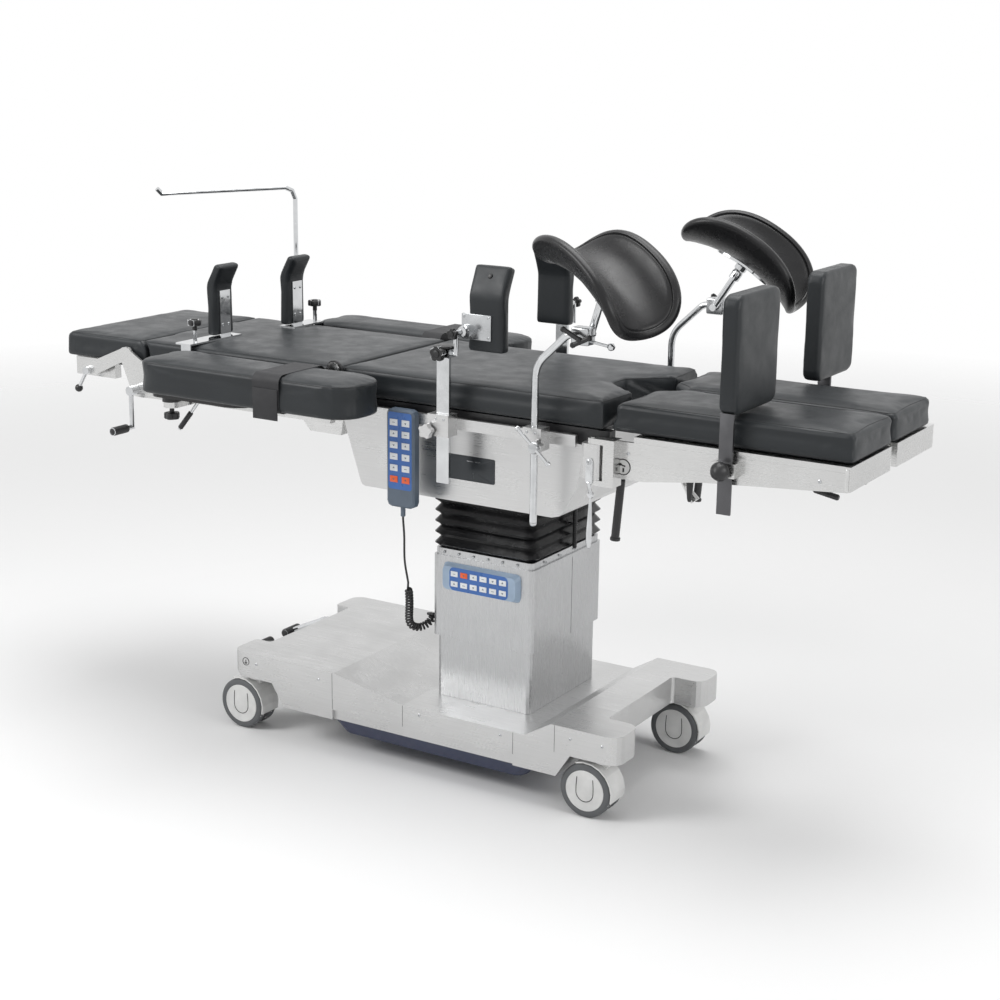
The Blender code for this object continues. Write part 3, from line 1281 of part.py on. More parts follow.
def back_frame():
    top = PAD_UNDER_Z - SEAT
    plate = block(BACK_PLATE_X, around(0, BACK_BEAM_Y[1] - SINK), (top - FRAME_PLATE, top))
    parts = [part for way in (NEAR, FAR) for part in (on_side(p, way) for p in back_side_parts())]
    for span in BACK_CROSS_X:
        low = BACK_BEAM_LOW_Z if span is BACK_CROSS_X[0] else RAIL_LOW_Z
        parts.append(block(span, around(0, BACK_BEAM_Y[0] + SINK), (low, top - SINK)))
    gusset = [
        (GUSSET_X[0], BACK_BEAM_LOW_Z + SINK),
        (GUSSET_LOW_X[0], GUSSET_LOW_Z),
        (GUSSET_LOW_X[1], GUSSET_LOW_Z),
        (GUSSET_X[1], BACK_BEAM_LOW_Z + SINK),
    ]
    parts.append(prism(gusset, "y", *around(0, GUSSET_HALF_Y)))
    outer_in = SIDE_PLATE_Y + SIDE_PLATE + SEAT
    stub_end = outer_in + SIDE_PLATE + CRANK_BOSS_WIDTH
    parts.append(drum("y", (CRANK_X, CRANK_Z), CRANK_STUB, -stub_end, -outer_in - SINK, ROD_SIDES))
    clamp_y = RAIL_FACE_Y + CLAMP_REACH
    parts.append(block(around(SCREEN_X, SCREEN_CLAMP_HALF), (RAIL_FACE_Y - SINK, clamp_y), CLAMP_Z))
    parts += knob((SCREEN_X, clamp_y + KNOB_STEM, RAIL_LOW_Z), FAR)
    frame = fused(plate, *parts)
    reach = HINGE_PLATE_Y + HINGE_PLATE_THICKNESS + SINK
    bore = drum(
        "y", (BACK_HINGE_X, BACK_HINGE_Z), bored(HINGE_PIN, ROD_SIDES), *around(0, reach), ROD_SIDES
    )
    hole = drum(
        "z",
        (SCREEN_X, SCREEN_Y),
        SCREEN_RADIUS + SLIP,
        CLAMP_Z[0] - OVERRUN,
        CLAMP_Z[1] + OVERRUN,
        ROD_SIDES,
    )
    piece("back_frame", "back", black_plastic(), cut(frame, bore, hole))


def head_crank():
    outer = SIDE_PLATE_Y + 2 * SIDE_PLATE + 2 * SEAT
    boss_y = (-outer - CRANK_BOSS_WIDTH, -outer)
    boss = drum("y", (CRANK_X, CRANK_Z), CRANK_BOSS, *boss_y)
    arm_y = boss_y[0] - CRANK_ROD
    end_z = CRANK_Z - CRANK_LENGTH
    rod = tube(
        [(CRANK_X, arm_y, CRANK_Z), (CRANK_X, arm_y, end_z), (CRANK_X, arm_y - CRANK_HANDLE, end_z)],
        CRANK_ROD,
    )
    grip = drum("y", (CRANK_X, end_z), CRANK_GRIP, arm_y - CRANK_HANDLE, arm_y - 2 * CRANK_GRIP)
    cover = drum("y", (CRANK_X, CRANK_Z), CRANK_BOSS, boss_y[0] - 2 * CRANK_ROD, boss_y[0] + SINK)
    bore = drum(
        "y",
        (CRANK_X, CRANK_Z),
        bored(CRANK_STUB, ROD_SIDES),
        boss_y[0] - SEAT,
        OVERRUN - outer,
        ROD_SIDES,
    )
    piece("head_crank", "head_crank", chrome(), cut(fused(boss, cover, rod, grip), bore))


# Head section.

HEAD_FRAME_X, HEAD_PLATE_HALF = (-1.035, -0.875), 0.205
HEAD_BAR_Y, HEAD_BAR_Z, HEAD_BAR_X = (0.190, 0.212), (0.827, 0.858), (-1.030, -0.900)
HEAD_ARM_X, HEAD_ARM_LOW_Z, HEAD_ARM_HALF = -0.965, 0.836, 0.020
LEVER_STUB = 0.0045
LEVER_BOSS = 0.010
LEVER_BOSS_WIDTH = 0.010
LEVER_END = (-0.030, -0.048)
LEVER_ROD = 0.0045
LEVER_BALL = 0.009


def head_frame():
    top = PAD_UNDER_Z - SEAT
    plate = block(HEAD_FRAME_X, around(0, HEAD_PLATE_HALF), (top - FRAME_PLATE, top))
    parts = []
    for way in NEAR, FAR:
        bar = block(HEAD_BAR_X, (-HEAD_BAR_Y[1], -HEAD_BAR_Y[0]), (HEAD_BAR_Z[0], top - SINK))
        lobe = arc((HEAD_HINGE_X, HEAD_HINGE_Z), LOBE_RADIUS, -110, 100, 7)
        lobe += [
            (HEAD_ARM_X - HEAD_ARM_HALF, HEAD_ARM_LOW_Z + HEAD_ARM_HALF),
            (HEAD_ARM_X - HEAD_ARM_HALF, HEAD_ARM_LOW_Z),
            (HEAD_ARM_X + HEAD_ARM_HALF, HEAD_ARM_LOW_Z),
        ]
        arm = prism(lobe, "y", -SIDE_PLATE_Y - SIDE_PLATE, -SIDE_PLATE_Y)
        foot = block(
            around(HEAD_ARM_X, HEAD_ARM_HALF),
            (-SIDE_PLATE_Y - SINK, -HEAD_BAR_Y[1] + SINK),
            (HEAD_ARM_LOW_Z, HEAD_ARM_LOW_Z + HEAD_ARM_HALF),
        )
        parts += [on_side(p, way) for p in (bar, arm, foot)]
    stub_z = HEAD_ARM_LOW_Z + HEAD_ARM_HALF / 2
    outer = SIDE_PLATE_Y + SIDE_PLATE
    parts.append(
        drum("y", (HEAD_ARM_X, stub_z), LEVER_STUB, -outer - LEVER_BOSS_WIDTH, -outer + SINK, ROD_SIDES)
    )
    frame = fused(plate, *parts)
    bore = drum(
        "y", (HEAD_HINGE_X, HEAD_HINGE_Z), bored(HEAD_PIN, ROD_SIDES), *around(0, outer + SINK), ROD_SIDES
    )
    piece("head_frame", "head", black_plastic(), cut(frame, bore))


def head_lever():
    x, z = HEAD_ARM_X, HEAD_ARM_LOW_Z + HEAD_ARM_HALF / 2
    inner = -SIDE_PLATE_Y - SIDE_PLATE - SEAT
    body("head_lever", "head", (x, inner, z))
    boss = drum("y", (x, z), LEVER_BOSS, inner - LEVER_BOSS_WIDTH - SINK, inner)
    middle = inner - LEVER_BOSS_WIDTH / 2
    start = (x + LEVER_END[0] / 9, middle, z + LEVER_END[1] / 9)
    end = (x + LEVER_END[0], middle, z + LEVER_END[1])
    bore_y = (inner - LEVER_BOSS_WIDTH - SEAT, inner + OVERRUN)
    bore = drum("y", (x, z), bored(LEVER_STUB, ROD_SIDES), *bore_y, ROD_SIDES)
    lever = cut(fused(boss, tube([start, end], LEVER_ROD, 8), ball(end, LEVER_BALL)), bore)
    piece("head_lever", "head_lever", chrome(), lever)


# Arm boards.


def arm_outline(margin=0.0, foot_x=ARM_X[1]):
    half = ARM_HALF_WIDTH - margin
    outline = rectangle((ARM_X[0] + margin, foot_x), around(-ARM_Y, half))
    head, foot = ARM_HEAD_CORNER - margin / 2, min(ARM_FOOT_CORNER, half)
    return rounded(outline, [head, foot, foot, head], 4)


def arm_board(side):
    """A padded board, with a strap round the near one."""
    way = SIDES[side]
    body(f"arm_{side}", "back", (ARM_PIVOT_X, way * ARM_Y, ARM_LOW_Z))
    board = cushion(arm_outline(), ARM_LOW_Z, TOP_Z)
    if side == "near":
        reach = ARM_HALF_WIDTH - SEAT
        levels = rounded(
            rectangle(around(-ARM_Y, reach), (ARM_LOW_Z, TOP_Z + STRAP_RISE)), [0, 0, PAD_EDGE, PAD_EDGE]
        )
        board = fused(board, prism(levels, "x", *STRAP_X))
    piece(f"arm_board_{side}", f"arm_{side}", leatherette(), on_side(board, way))
    top = ARM_LOW_Z - SEAT
    plate = prism(arm_outline(ARM_PLATE_MARGIN, ARM_PLATE_FOOT_X), "z", top - ARM_PLATE, top)
    hub = drum("z", (ARM_PIVOT_X, -ARM_Y), ARM_HUB, ARM_BRACKET_Z[1] + SEAT, top - ARM_PLATE + SINK)
    bore_z = (ARM_BRACKET_Z[1] - OVERRUN, top - ARM_PLATE)
    bore = drum("z", (ARM_PIVOT_X, -ARM_Y), bored(ARM_PIN, ROD_SIDES), *bore_z, ROD_SIDES)
    piece(f"arm_plate_{side}", f"arm_{side}", black_plastic(), on_side(cut(fused(plate, hub), bore), way))


# Shoulder supports.


def shoulder_support(side):
    """A strap up from the side of the back section and over the pad, with an upright pad bolted to it."""
    way, x, pad_y = SIDES[side], SHOULDER_X[side], SHOULDER_Y[side]
    body(f"shoulder_{side}", "back", (x, way * STRAP_Y, RAIL_LOW_Z))
    over = TOP_Z + SEAT
    inner = -pad_y + SHOULDER_PAD_HALF
    upright = block(
        around(x, STRAP_HALF), (-STRAP_Y - STRAP_PLATE, -STRAP_Y), (STRAP_LOW_Z, over + STRAP_PLATE)
    )
    shelf_x = (x + SHOULDER_PAD_X[0], x + STRAP_HALF)
    shelf = block(shelf_x, (-STRAP_Y - SINK, inner), (over, over + STRAP_PLATE))
    stand_x = (x + SHOULDER_PAD_X[1] + SEAT, x + SHOULDER_PAD_X[1] + STRAP_PLATE)
    stand = block(
        stand_x, around(-pad_y, SHOULDER_PAD_HALF / 2), (over, over + SHOULDER_PAD_BEND - PAD_EDGE)
    )
    knob_y = max(-STRAP_Y + KNOB_RADIUS, -pad_y - SHOULDER_KNOB_Y)
    screw = star_knob((x, knob_y), over + SHOULDER_KNOB_Z + KNOB_THICKNESS)
    screw[1].free()
    stem = drum("z", (x, knob_y), KNOB_STEM, over + SINK, over + SHOULDER_KNOB_Z + SINK, 8)
    post = fused(upright, shelf, stand, screw[0], stem)
    piece(f"shoulder_post_{side}", f"shoulder_{side}", chrome(), on_side(post, way))

    low = over + STRAP_PLATE + SEAT
    bend, top = low + SHOULDER_PAD_BEND, low + SHOULDER_PAD_HEIGHT
    x0, x1 = x + SHOULDER_PAD_X[0], x + SHOULDER_PAD_X[1]
    outline = [
        (x0, low), (x1, low), (x1, bend), (x1 + SHOULDER_LEAN, top), (x0 + SHOULDER_LEAN, top), (x0, bend)
    ]
    outline = rounded(outline, PAD_EDGE * 0.75)
    rings = []
    half = SHOULDER_PAD_HALF
    for y, inset in (
        (-half, PAD_EDGE / 2), (-half + PAD_EDGE / 2, 0), (half - PAD_EDGE / 2, 0), (half, PAD_EDGE / 2)
    ):
        rings.append([(u, -pad_y + y, v) for u, v in shrunk(outline, inset)])
    piece(f"shoulder_pad_{side}", f"shoulder_{side}", leatherette(), on_side(loft(rings), way))


def screen_rod():
    """An anaesthetic screen's rod: up from the back rail, then level across the table with a hooked end."""
    body("screen_rod", "back", (SCREEN_X, SCREEN_Y, RAIL_LOW_Z))
    low, high = SCREEN_Z
    run = Vector((SCREEN_END[0] - SCREEN_X, SCREEN_END[1] - SCREEN_Y, 0)).normalized()
    corner = Vector((SCREEN_X, SCREEN_Y, high))
    bend = [
        corner - Vector((0, 0, SCREEN_BEND)),
        corner - Vector((0, 0, SCREEN_BEND * 0.3)) + run * SCREEN_BEND * 0.3,
        corner + run * SCREEN_BEND,
    ]
    end = Vector((*SCREEN_END, high))
    points = [
        Vector((SCREEN_X, SCREEN_Y, low)),
        *bend,
        end,
        end + run * SCREEN_HOOK + Vector((0, 0, SCREEN_HOOK)),
    ]
    piece("screen_rod", "screen_rod", chrome(), tube(points, SCREEN_RADIUS))


# Leg sections, each on a knuckle that tilts on the seat's stub shaft and swings out on an upright pin.

KNUCKLE_HALF_X, KNUCKLE_Y, KNUCKLE_Z, KNUCKLE_CORNER = 0.0235, (0.2505, 0.2745), (0.777, 0.853), 0.008
KNUCKLE_BOSS, KNUCKLE_BOSS_Y, LEG_PIN = 0.018, 0.2262, 0.006
LEG_LUG, LEG_PANEL_Y, LEG_PANEL_X = 0.012, (0.236, 0.243), (0.524, 1.046)
LEG_PANEL_TOP_Z, LEG_PANEL_LOW_X, LEG_PANEL_LOW_Z = 0.860, (0.600, 0.734), (0.780, 0.798, 0.821)
LEG_PLATE_X, LEG_PLATE_INNER_Y, LEG_PLATE = (0.575, 1.044), 0.018, 0.008
LEG_INNER_BEAM, LEG_BEAM_LOW_Z, LEG_END_X, LEG_END_LOW_Z = 0.012, 0.838, 1.038, 0.822
LEG_LUG_X, LEG_WEB_X = 0.545, (0.5195, 0.545)
FOOT_BAR_Y, FOOT_BAR_HALF_X, FOOT_BAR_HALF_Y, FOOT_BAR_LOW_Z = 0.256, 0.015, 0.003, 0.742
FOOT_X = 0.790
FOOT_THICKNESS = 0.040
FOOT_HALF_WIDTH = 0.105
FOOT_LOW_Z = 0.945
FOOT_HIGH_Z = 1.190
FOOT_CORNER = 0.025
FOOT_CLAMP_HALF, FOOT_CLAMP_Z, FOOT_CLAMP_OUT = 0.026, (0.822, 0.852), 0.270
FOOT_CENTRE_Y = {"near": -0.160, "far": 0.270}
TILT_LEVER_X, TILT_LEVER_Y, TILT_LEVER_Z, TILT_LEVER_RADIUS = (0.660, 0.700), 0.200, 0.745, 0.0055
RELEASE_LEVER_X, RELEASE_LEVER_Y, RELEASE_LEVER_Z = (0.829, 0.966), 0.080, (0.790, 0.765)

HANDSET_X = (-0.030, 0.045)
HANDSET_Z = (0.643, 0.868)
HANDSET_DEPTH = 0.024
HANDSET_CORNER = 0.012
HANDSET_TAPER = 0.004
HANDSET_KEYS, HANDSET_KEY, HANDSET_PITCH, HANDSET_RISE = (2, 6), (0.020, 0.014), (0.032, 0.026), 0.0012
HANDSET_KEY_TOP = 0.030
HOOK_HALF, HOOK_PLATE = 0.014, 0.003
RELIEF_RADIUS, RELIEF_LENGTH = 0.0055, 0.022
CORD_RADIUS, CURL_WIRE, CURL_OUTER, CURL_PITCH, CURL_POINTS = 0.0030, 0.0025, 0.0100, 0.0082, 8
CORD_STEP, CORD_ENDS = 0.008, 0.005
CORD_MEET = (-0.018, -0.205, 0.445)
STRAIGHT_ROUTE = [(0.002, -0.250, 0.570), (-0.012, -0.228, 0.505)]
CURLY_ROUTE = [
    (-0.0237, -0.1917, 0.3955),
    (-0.0356, -0.1732, 0.3373),
    (-0.0269, -0.1510, 0.3195),
    (-0.0134, -0.1297, 0.3260),
]


def leg_hinge(side):
    way = SIDES[side]
    body(f"leg_hinge_{side}", "table", (LEG_HINGE_X, way * LEG_PIN_Y, LEG_HINGE_Z))
    plan = rounded(
        rectangle(around(LEG_HINGE_X, KNUCKLE_HALF_X), (-KNUCKLE_Y[1], -KNUCKLE_Y[0])), KNUCKLE_CORNER, 2
    )
    knuckle = prism(plan, "z", *KNUCKLE_Z)
    boss = drum("y", (LEG_HINGE_X, LEG_HINGE_Z), KNUCKLE_BOSS, -KNUCKLE_Y[0] - SINK, -KNUCKLE_BOSS_Y)
    shaft = drum("y", (LEG_HINGE_X, LEG_HINGE_Z), bored(STUB_RADIUS), -STUB_TIP_Y - SEAT, 0)
    pin_z = (KNUCKLE_Z[0] - OVERRUN, KNUCKLE_Z[1] + OVERRUN)
    pin = drum("z", (LEG_HINGE_X, -LEG_PIN_Y), bored(LEG_PIN, ROD_SIDES), *pin_z, ROD_SIDES)
    piece(
        f"leg_hinge_{side}",
        f"leg_hinge_{side}",
        brushed_steel(),
        on_side(cut(fused(knuckle, boss), shaft, pin), way),
    )


def leg_frame(side):
    way = SIDES[side]
    body(f"leg_{side}", f"leg_hinge_{side}", (LEG_HINGE_X, way * LEG_PIN_Y, LEG_HINGE_Z))
    top = PAD_UNDER_Z - SEAT
    panel_outline = [
        (LEG_PANEL_X[0], LEG_PANEL_TOP_Z),
        (LEG_PANEL_X[0], LEG_PANEL_LOW_Z[0]),
        (LEG_PANEL_LOW_X[0], LEG_PANEL_LOW_Z[0]),
        (LEG_PANEL_LOW_X[1], LEG_PANEL_LOW_Z[1]),
        (LEG_PANEL_X[1], LEG_PANEL_LOW_Z[2]),
        (LEG_PANEL_X[1], LEG_PANEL_TOP_Z),
    ]
    panel = prism(panel_outline, "y", -LEG_PANEL_Y[1], -LEG_PANEL_Y[0])
    shelf = block(LEG_PLATE_X, (-LEG_PANEL_Y[1] + SINK, -LEG_PLATE_INNER_Y), (top - LEG_PLATE, top))
    lip = block(
        LEG_PLATE_X,
        (-LEG_PANEL_Y[1] + SINK, -LEG_PANEL_Y[0] - SINK),
        (LEG_PANEL_TOP_Z - SINK, top - SINK),
    )
    inner = block(
        LEG_PLATE_X,
        (-LEG_PLATE_INNER_Y - LEG_INNER_BEAM, -LEG_PLATE_INNER_Y),
        (LEG_BEAM_LOW_Z, top - SINK),
    )
    end = block((LEG_END_X, FOOT_END_X), (-LEG_PANEL_Y[1], -LEG_PLATE_INNER_Y), (LEG_END_LOW_Z, top))
    parts = [shelf, lip, inner, end]
    for low in KNUCKLE_Z[0] - SEAT - LEG_LUG, KNUCKLE_Z[1] + SEAT:
        lug = arc((LEG_HINGE_X, -LEG_PIN_Y), LEG_PIN + 0.5 * LEG_LUG, 90, 270, 5)
        lug += [(LEG_LUG_X, lug[-1][1]), (LEG_LUG_X, lug[0][1])]
        parts.append(prism(lug, "z", low, low + LEG_LUG))
    web_y = (-LEG_PIN_Y - LEG_PIN - LEG_LUG / 2, -LEG_PANEL_Y[0] - SINK)
    parts.append(block(LEG_WEB_X, web_y, (KNUCKLE_Z[0] - SEAT - LEG_LUG, KNUCKLE_Z[1] + SEAT + LEG_LUG)))
    pin_z = (KNUCKLE_Z[0] - SEAT - LEG_LUG - SINK, KNUCKLE_Z[1] + SEAT + LEG_LUG + SINK)
    parts.append(drum("z", (LEG_HINGE_X, -LEG_PIN_Y), LEG_PIN, *pin_z, ROD_SIDES))
    clamp_y = (-FOOT_CLAMP_OUT, -LEG_PANEL_Y[1] + SINK)
    parts.append(block(around(FOOT_X, FOOT_CLAMP_HALF), clamp_y, FOOT_CLAMP_Z))
    screw_y = -FOOT_CLAMP_OUT - KNOB_STEM
    parts += knob((FOOT_X, screw_y, sum(FOOT_CLAMP_Z) / 2), NEAR)
    lever_x = TILT_LEVER_X
    cross = block(
        (lever_x[0], lever_x[0] + LEG_INNER_BEAM),
        (-LEG_PANEL_Y[0] - SINK, -LEG_PLATE_INNER_Y - SINK),
        (LEG_BEAM_LOW_Z, top - SINK),
    )
    lever = tube(
        [
            (lever_x[0] + LEG_INNER_BEAM / 2, -TILT_LEVER_Y, LEG_BEAM_LOW_Z + LEG_INNER_BEAM),
            (lever_x[0] + LEG_INNER_BEAM, -TILT_LEVER_Y, LEG_PANEL_LOW_Z[0]),
            (lever_x[1], -TILT_LEVER_Y, TILT_LEVER_Z),
        ],
        [TILT_LEVER_RADIUS, TILT_LEVER_RADIUS, 2 * TILT_LEVER_RADIUS], 8,
    )
    parts += [cross, lever]
    frame = fused(panel, *parts)
    fit_x, fit_y = FOOT_BAR_HALF_X + SLIP, FOOT_BAR_HALF_Y + SLIP
    hole = rectangle(around(FOOT_X, fit_x), around(-FOOT_BAR_Y, fit_y))
    slot = prism(hole, "z", FOOT_CLAMP_Z[0] - OVERRUN, FOOT_CLAMP_Z[1] + OVERRUN)
    piece(f"leg_frame_{side}", f"leg_{side}", grey_paint(), on_side(cut(frame, slot), way))


def foot_board(side):
    """A padded board across the sole, on a flat bar at one edge."""
    way, centre = SIDES[side], FOOT_CENTRE_Y[side]
    bar_y = way * FOOT_BAR_Y
    body(f"foot_board_{side}", f"leg_{side}", (FOOT_X, bar_y, FOOT_CLAMP_Z[0]))
    outline = rounded(
        rectangle(around(centre, FOOT_HALF_WIDTH), (FOOT_LOW_Z, FOOT_HIGH_Z)), FOOT_CORNER, 4
    )
    half = FOOT_THICKNESS / 2
    rings = []
    for x, inset in (
        (-half, 2 * PAD_EDGE), (-half + PAD_CROWN, PAD_EDGE / 2), (-half + PAD_EDGE, 0),
        (0, PAD_DRAWN_IN / 2), (half - PAD_EDGE, 0), (half - PAD_CROWN, PAD_EDGE / 2), (half, 2 * PAD_EDGE),
    ):
        rings.append([(FOOT_X + x, y, z) for y, z in shrunk(outline, inset)])
    bar = block(
        around(FOOT_X, FOOT_BAR_HALF_X),
        around(bar_y, FOOT_BAR_HALF_Y),
        (FOOT_BAR_LOW_Z, FOOT_LOW_Z + FOOT_CORNER),
    )
    piece(f"foot_board_{side}", f"foot_board_{side}", leatherette(), fused(loft(rings), bar))


# Handset and its cord.


def handset():
    """A keypad hung on the near seat rail by a hook."""
    back = -RAIL_FACE_Y - SEAT
    front = back - HANDSET_DEPTH
    outline = rounded(rectangle(HANDSET_X, HANDSET_Z), HANDSET_CORNER)
    rings = []
    for y, inset in (
        (back, HANDSET_TAPER / 2),
        (back - HANDSET_TAPER, 0),
        (front + HANDSET_TAPER, 0),
        (front, HANDSET_TAPER),
    ):
        rings.append([(x, y, z) for x, z in shrunk(outline, inset)])
    middle = sum(HANDSET_X) / 2
    parts = []
    for column in range(HANDSET_KEYS[0]):
        for row in range(HANDSET_KEYS[1]):
            x = middle + (column - (HANDSET_KEYS[0] - 1) / 2) * HANDSET_PITCH[0]
            z = HANDSET_Z[1] - HANDSET_KEY_TOP - row * HANDSET_PITCH[1]
            parts.append(
                block(
                    around(x, HANDSET_KEY[0] / 2),
                    (front - HANDSET_RISE, front + SINK),
                    around(z, HANDSET_KEY[1] / 2),
                )
            )
    over = RAIL_LOW_Z + RAIL_HEIGHT + SEAT
    behind = -RAIL_FACE_Y + RAIL_THICKNESS + SEAT
    hook = [
        (back - SINK, over), (behind, over), (behind, over - 2 * HOOK_PLATE),
        (
            behind + HOOK_PLATE, over - 2 * HOOK_PLATE
        ), (behind + HOOK_PLATE, over + HOOK_PLATE), (back - SINK, over + HOOK_PLATE),
    ]
    parts.append(prism(hook, "x", *around(middle, HOOK_HALF)))
    relief_y = (back + front) / 2
    parts.append(
        drum(
            "z",
            (middle, relief_y),
            RELIEF_RADIUS,
            HANDSET_Z[0] - RELIEF_LENGTH,
            HANDSET_Z[0] + SINK,
            ROD_SIDES,
        )
    )
    piece("handset", "table", blue_plastic(), fused(loft(rings), *parts))
    return (middle, relief_y, HANDSET_Z[0] - RELIEF_LENGTH - SEAT)


def smooth(route, step):
    """Evenly spaced points of a curve through the route's own points."""
    points = [Vector(p) for p in route]
    ends = [2 * points[0] - points[1], *points, 2 * points[-1] - points[-2]]
    fine = []
    for a, b, c, d in zip(ends, ends[1:], ends[2:], ends[3:]):
        for k in range(40):
            t = k / 40
            cubic = (3 * b - a - 3 * c + d) * t**3
            fine.append((2 * b + (c - a) * t + (2 * a - 5 * b + 4 * c - d) * t**2 + cubic) / 2)
    fine.append(points[-1])
    lengths = [0.0]
    for a, b in zip(fine, fine[1:]):
        lengths.append(lengths[-1] + (b - a).length)
    count = max(2, round(lengths[-1] / step))
    even, at = [], 0
    for k in range(count + 1):
        wanted = lengths[-1] * k / count
        while at < len(fine) - 2 and lengths[at + 1] < wanted:
            at += 1
        span = lengths[at + 1] - lengths[at]
        even.append(fine[at].lerp(fine[at + 1], (wanted - lengths[at]) / span if span else 0))
    return even


def straight_cord(start, run):
    """The plain stretch, down from the handset; run is the way it meets the curls."""
    down = Vector((0, 0, -2 * CORD_RADIUS))
    meet = Vector(CORD_MEET) - run * SEAT
    route = [Vector(start), Vector(start) + down, *STRAIGHT_ROUTE, meet - run * 2 * CORD_RADIUS, meet]
    curve = bpy.data.curves.new("cord_straight", "CURVE")
    curve.dimensions = "3D"
    curve.bevel_depth = CORD_RADIUS
    curve.bevel_resolution = 2
    curve.use_fill_caps = True
    pivot, place = BODIES["lift"]
    points = smooth(route, CORD_STEP)
    points[0], points[1] = Vector(start), Vector(start) + down
    points[-2], points[-1] = meet - run * 2 * CORD_RADIUS, meet
    spline = curve.splines.new("POLY")
    spline.points.add(len(points) - 1)
    for target, point in zip(spline.points, points):
        target.co = (*(point - place), 1)
    curve.materials.append(black_rubber())
    obj = bpy.data.objects.new("cord_straight", curve)
    bpy.context.scene.collection.objects.link(obj)
    obj.parent = pivot


def curl_gap(points):
    """The least gap of the winding to itself, measured between its own points over half a turn apart."""
    fine = []
    for a, b in zip(points, points[1:]):
        fine += [a.lerp(b, k / CURL_POINTS) for k in range(CURL_POINTS)]
    apart = CURL_POINTS * CURL_POINTS // 2
    least = CURL_OUTER
    for i, point in enumerate(fine):
        for other in fine[i + apart : i + 4 * apart]:
            least = min(least, (other - point).length)
    return least - 2 * CURL_WIRE


def curly_cord():
    """The curls: one tube wound about the route, with straight ends on it."""
    socket = Vector((COLUMN_X - SHELL_HALF_X - SOCKET_LENGTH - SEAT, SOCKET_Y, SOCKET_Z))
    lead = Vector((4 * CURL_WIRE, 0, 0))
    route = [Vector(CORD_MEET), *map(Vector, CURLY_ROUTE), socket - lead, socket]
    first = (route[1] - route[0]).normalized()
    core = smooth(route, CURL_PITCH / CURL_POINTS)
    winding = CURL_OUTER - CURL_WIRE
    length = sum((b - a).length for a, b in zip(core, core[1:]))
    curls = round((length - 2 * CORD_ENDS - 2 * lead.length) / CURL_PITCH)
    runs = [(b - a).normalized() for a, b in zip(core, core[1:])]
    side = runs[0].orthogonal().normalized()
    points, travelled = [], 0.0
    skip = CORD_ENDS + lead.length
    span = length - 2 * skip
    steps = curls * CURL_POINTS
    frames = []
    for i, run in enumerate(runs):
        if i:
            side = runs[i - 1].rotation_difference(run) @ side
        frames.append((travelled, core[i], run, side.copy()))
        travelled += (core[i + 1] - core[i]).length
    at = 0
    for k in range(steps + 1):
        wanted = skip + span * k / steps
        while at < len(frames) - 1 and frames[at + 1][0] <= wanted:
            at += 1
        place, base, run, across = frames[at]
        centre = base + run * (wanted - place)
        across = (across - run * across.dot(run)).normalized()
        angle = math.tau * k / CURL_POINTS
        points.append(centre + (across * math.cos(angle) + run.cross(across) * math.sin(angle)) * winding)
    print(f"least gap between curls: {1000 * curl_gap(points):.2f} mm")
    head = [route[0], route[0] + first * 2 * CURL_WIRE]
    tail = [socket - Vector((2 * CURL_WIRE, 0, 0)), socket]
    path = [*head, *points, *tail]
    curve = bpy.data.curves.new("cord_curly", "CURVE")
    curve.dimensions = "3D"
    curve.bevel_depth = CURL_WIRE
    curve.bevel_resolution = 1
    curve.use_fill_caps = True
    pivot, place = BODIES["lift"]
    spline = curve.splines.new("POLY")
    spline.points.add(len(path) - 1)
    for target, point in zip(spline.points, path):
        target.co = (*(point - place), 1)
    curve.materials.append(black_rubber())
    obj = bpy.data.objects.new("cord_curly", curve)
    bpy.context.scene.collection.objects.link(obj)
    obj.parent = pivot
    return first


def main():
    clear_scene()
    body("base", None, (0, 0, 0))
    for side in SIDES:
        for end in STEM_X:
            caster(side, end)
    base_cover()
    base_tray()
    lift_guide()
    pedal("brake_pedal", BRAKE_Y, BRAKE_END, PEDAL_GRIP_LENGTH, chrome())
    pedal("steer_pedal", STEER_Y, STEER_END, PEDAL_GRIP_LENGTH / 2, black_plastic())

    body("mid_column", "base", (COLUMN_X, 0, BASE_DECK_Z))
    body("lift", "base", (COLUMN_X, 0, BASE_DECK_Z))
    column_lower_shell()
    column_mid_shell()
    column_upper_shell()
    control_panel()
    lift_tube()
    bellows()
    body("cradle", "lift", (COLUMN_X, 0, PIVOT_Z))
    gimbal_cross()

    body("table", "cradle", (COLUMN_X, 0, PIVOT_Z))
    saddle_housing()
    seat_frame()
    seat_pad()
    relief = handset()
    run = curly_cord()
    straight_cord(relief, run)
    for side in SIDES:
        seat_rail(side)
        side_support(side)
        leg_post(side)
        leg_hinge(side)
        leg_frame(side)
        leg_pad(side)
        foot_board(side)

    body("back", "table", (BACK_HINGE_X, 0, BACK_HINGE_Z))
    back_frame()
    back_pad()
    body("head_crank", "back", (CRANK_X, -SIDE_PLATE_Y, CRANK_Z))
    head_crank()
    for side in SIDES:
        arm_board(side)
        shoulder_support(side)
    screen_rod()
    body("head", "back", (HEAD_HINGE_X, 0, HEAD_HINGE_Z))
    head_frame()
    head_pad()
    head_lever()


main()
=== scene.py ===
"""Looks for the electric operating table: finishes, cushions, saddles, trim, cord, light and camera."""

from math import cos, pi, radians, sin, tau

import bmesh
import bpy
import numpy as np
from mathutils import Matrix, Vector


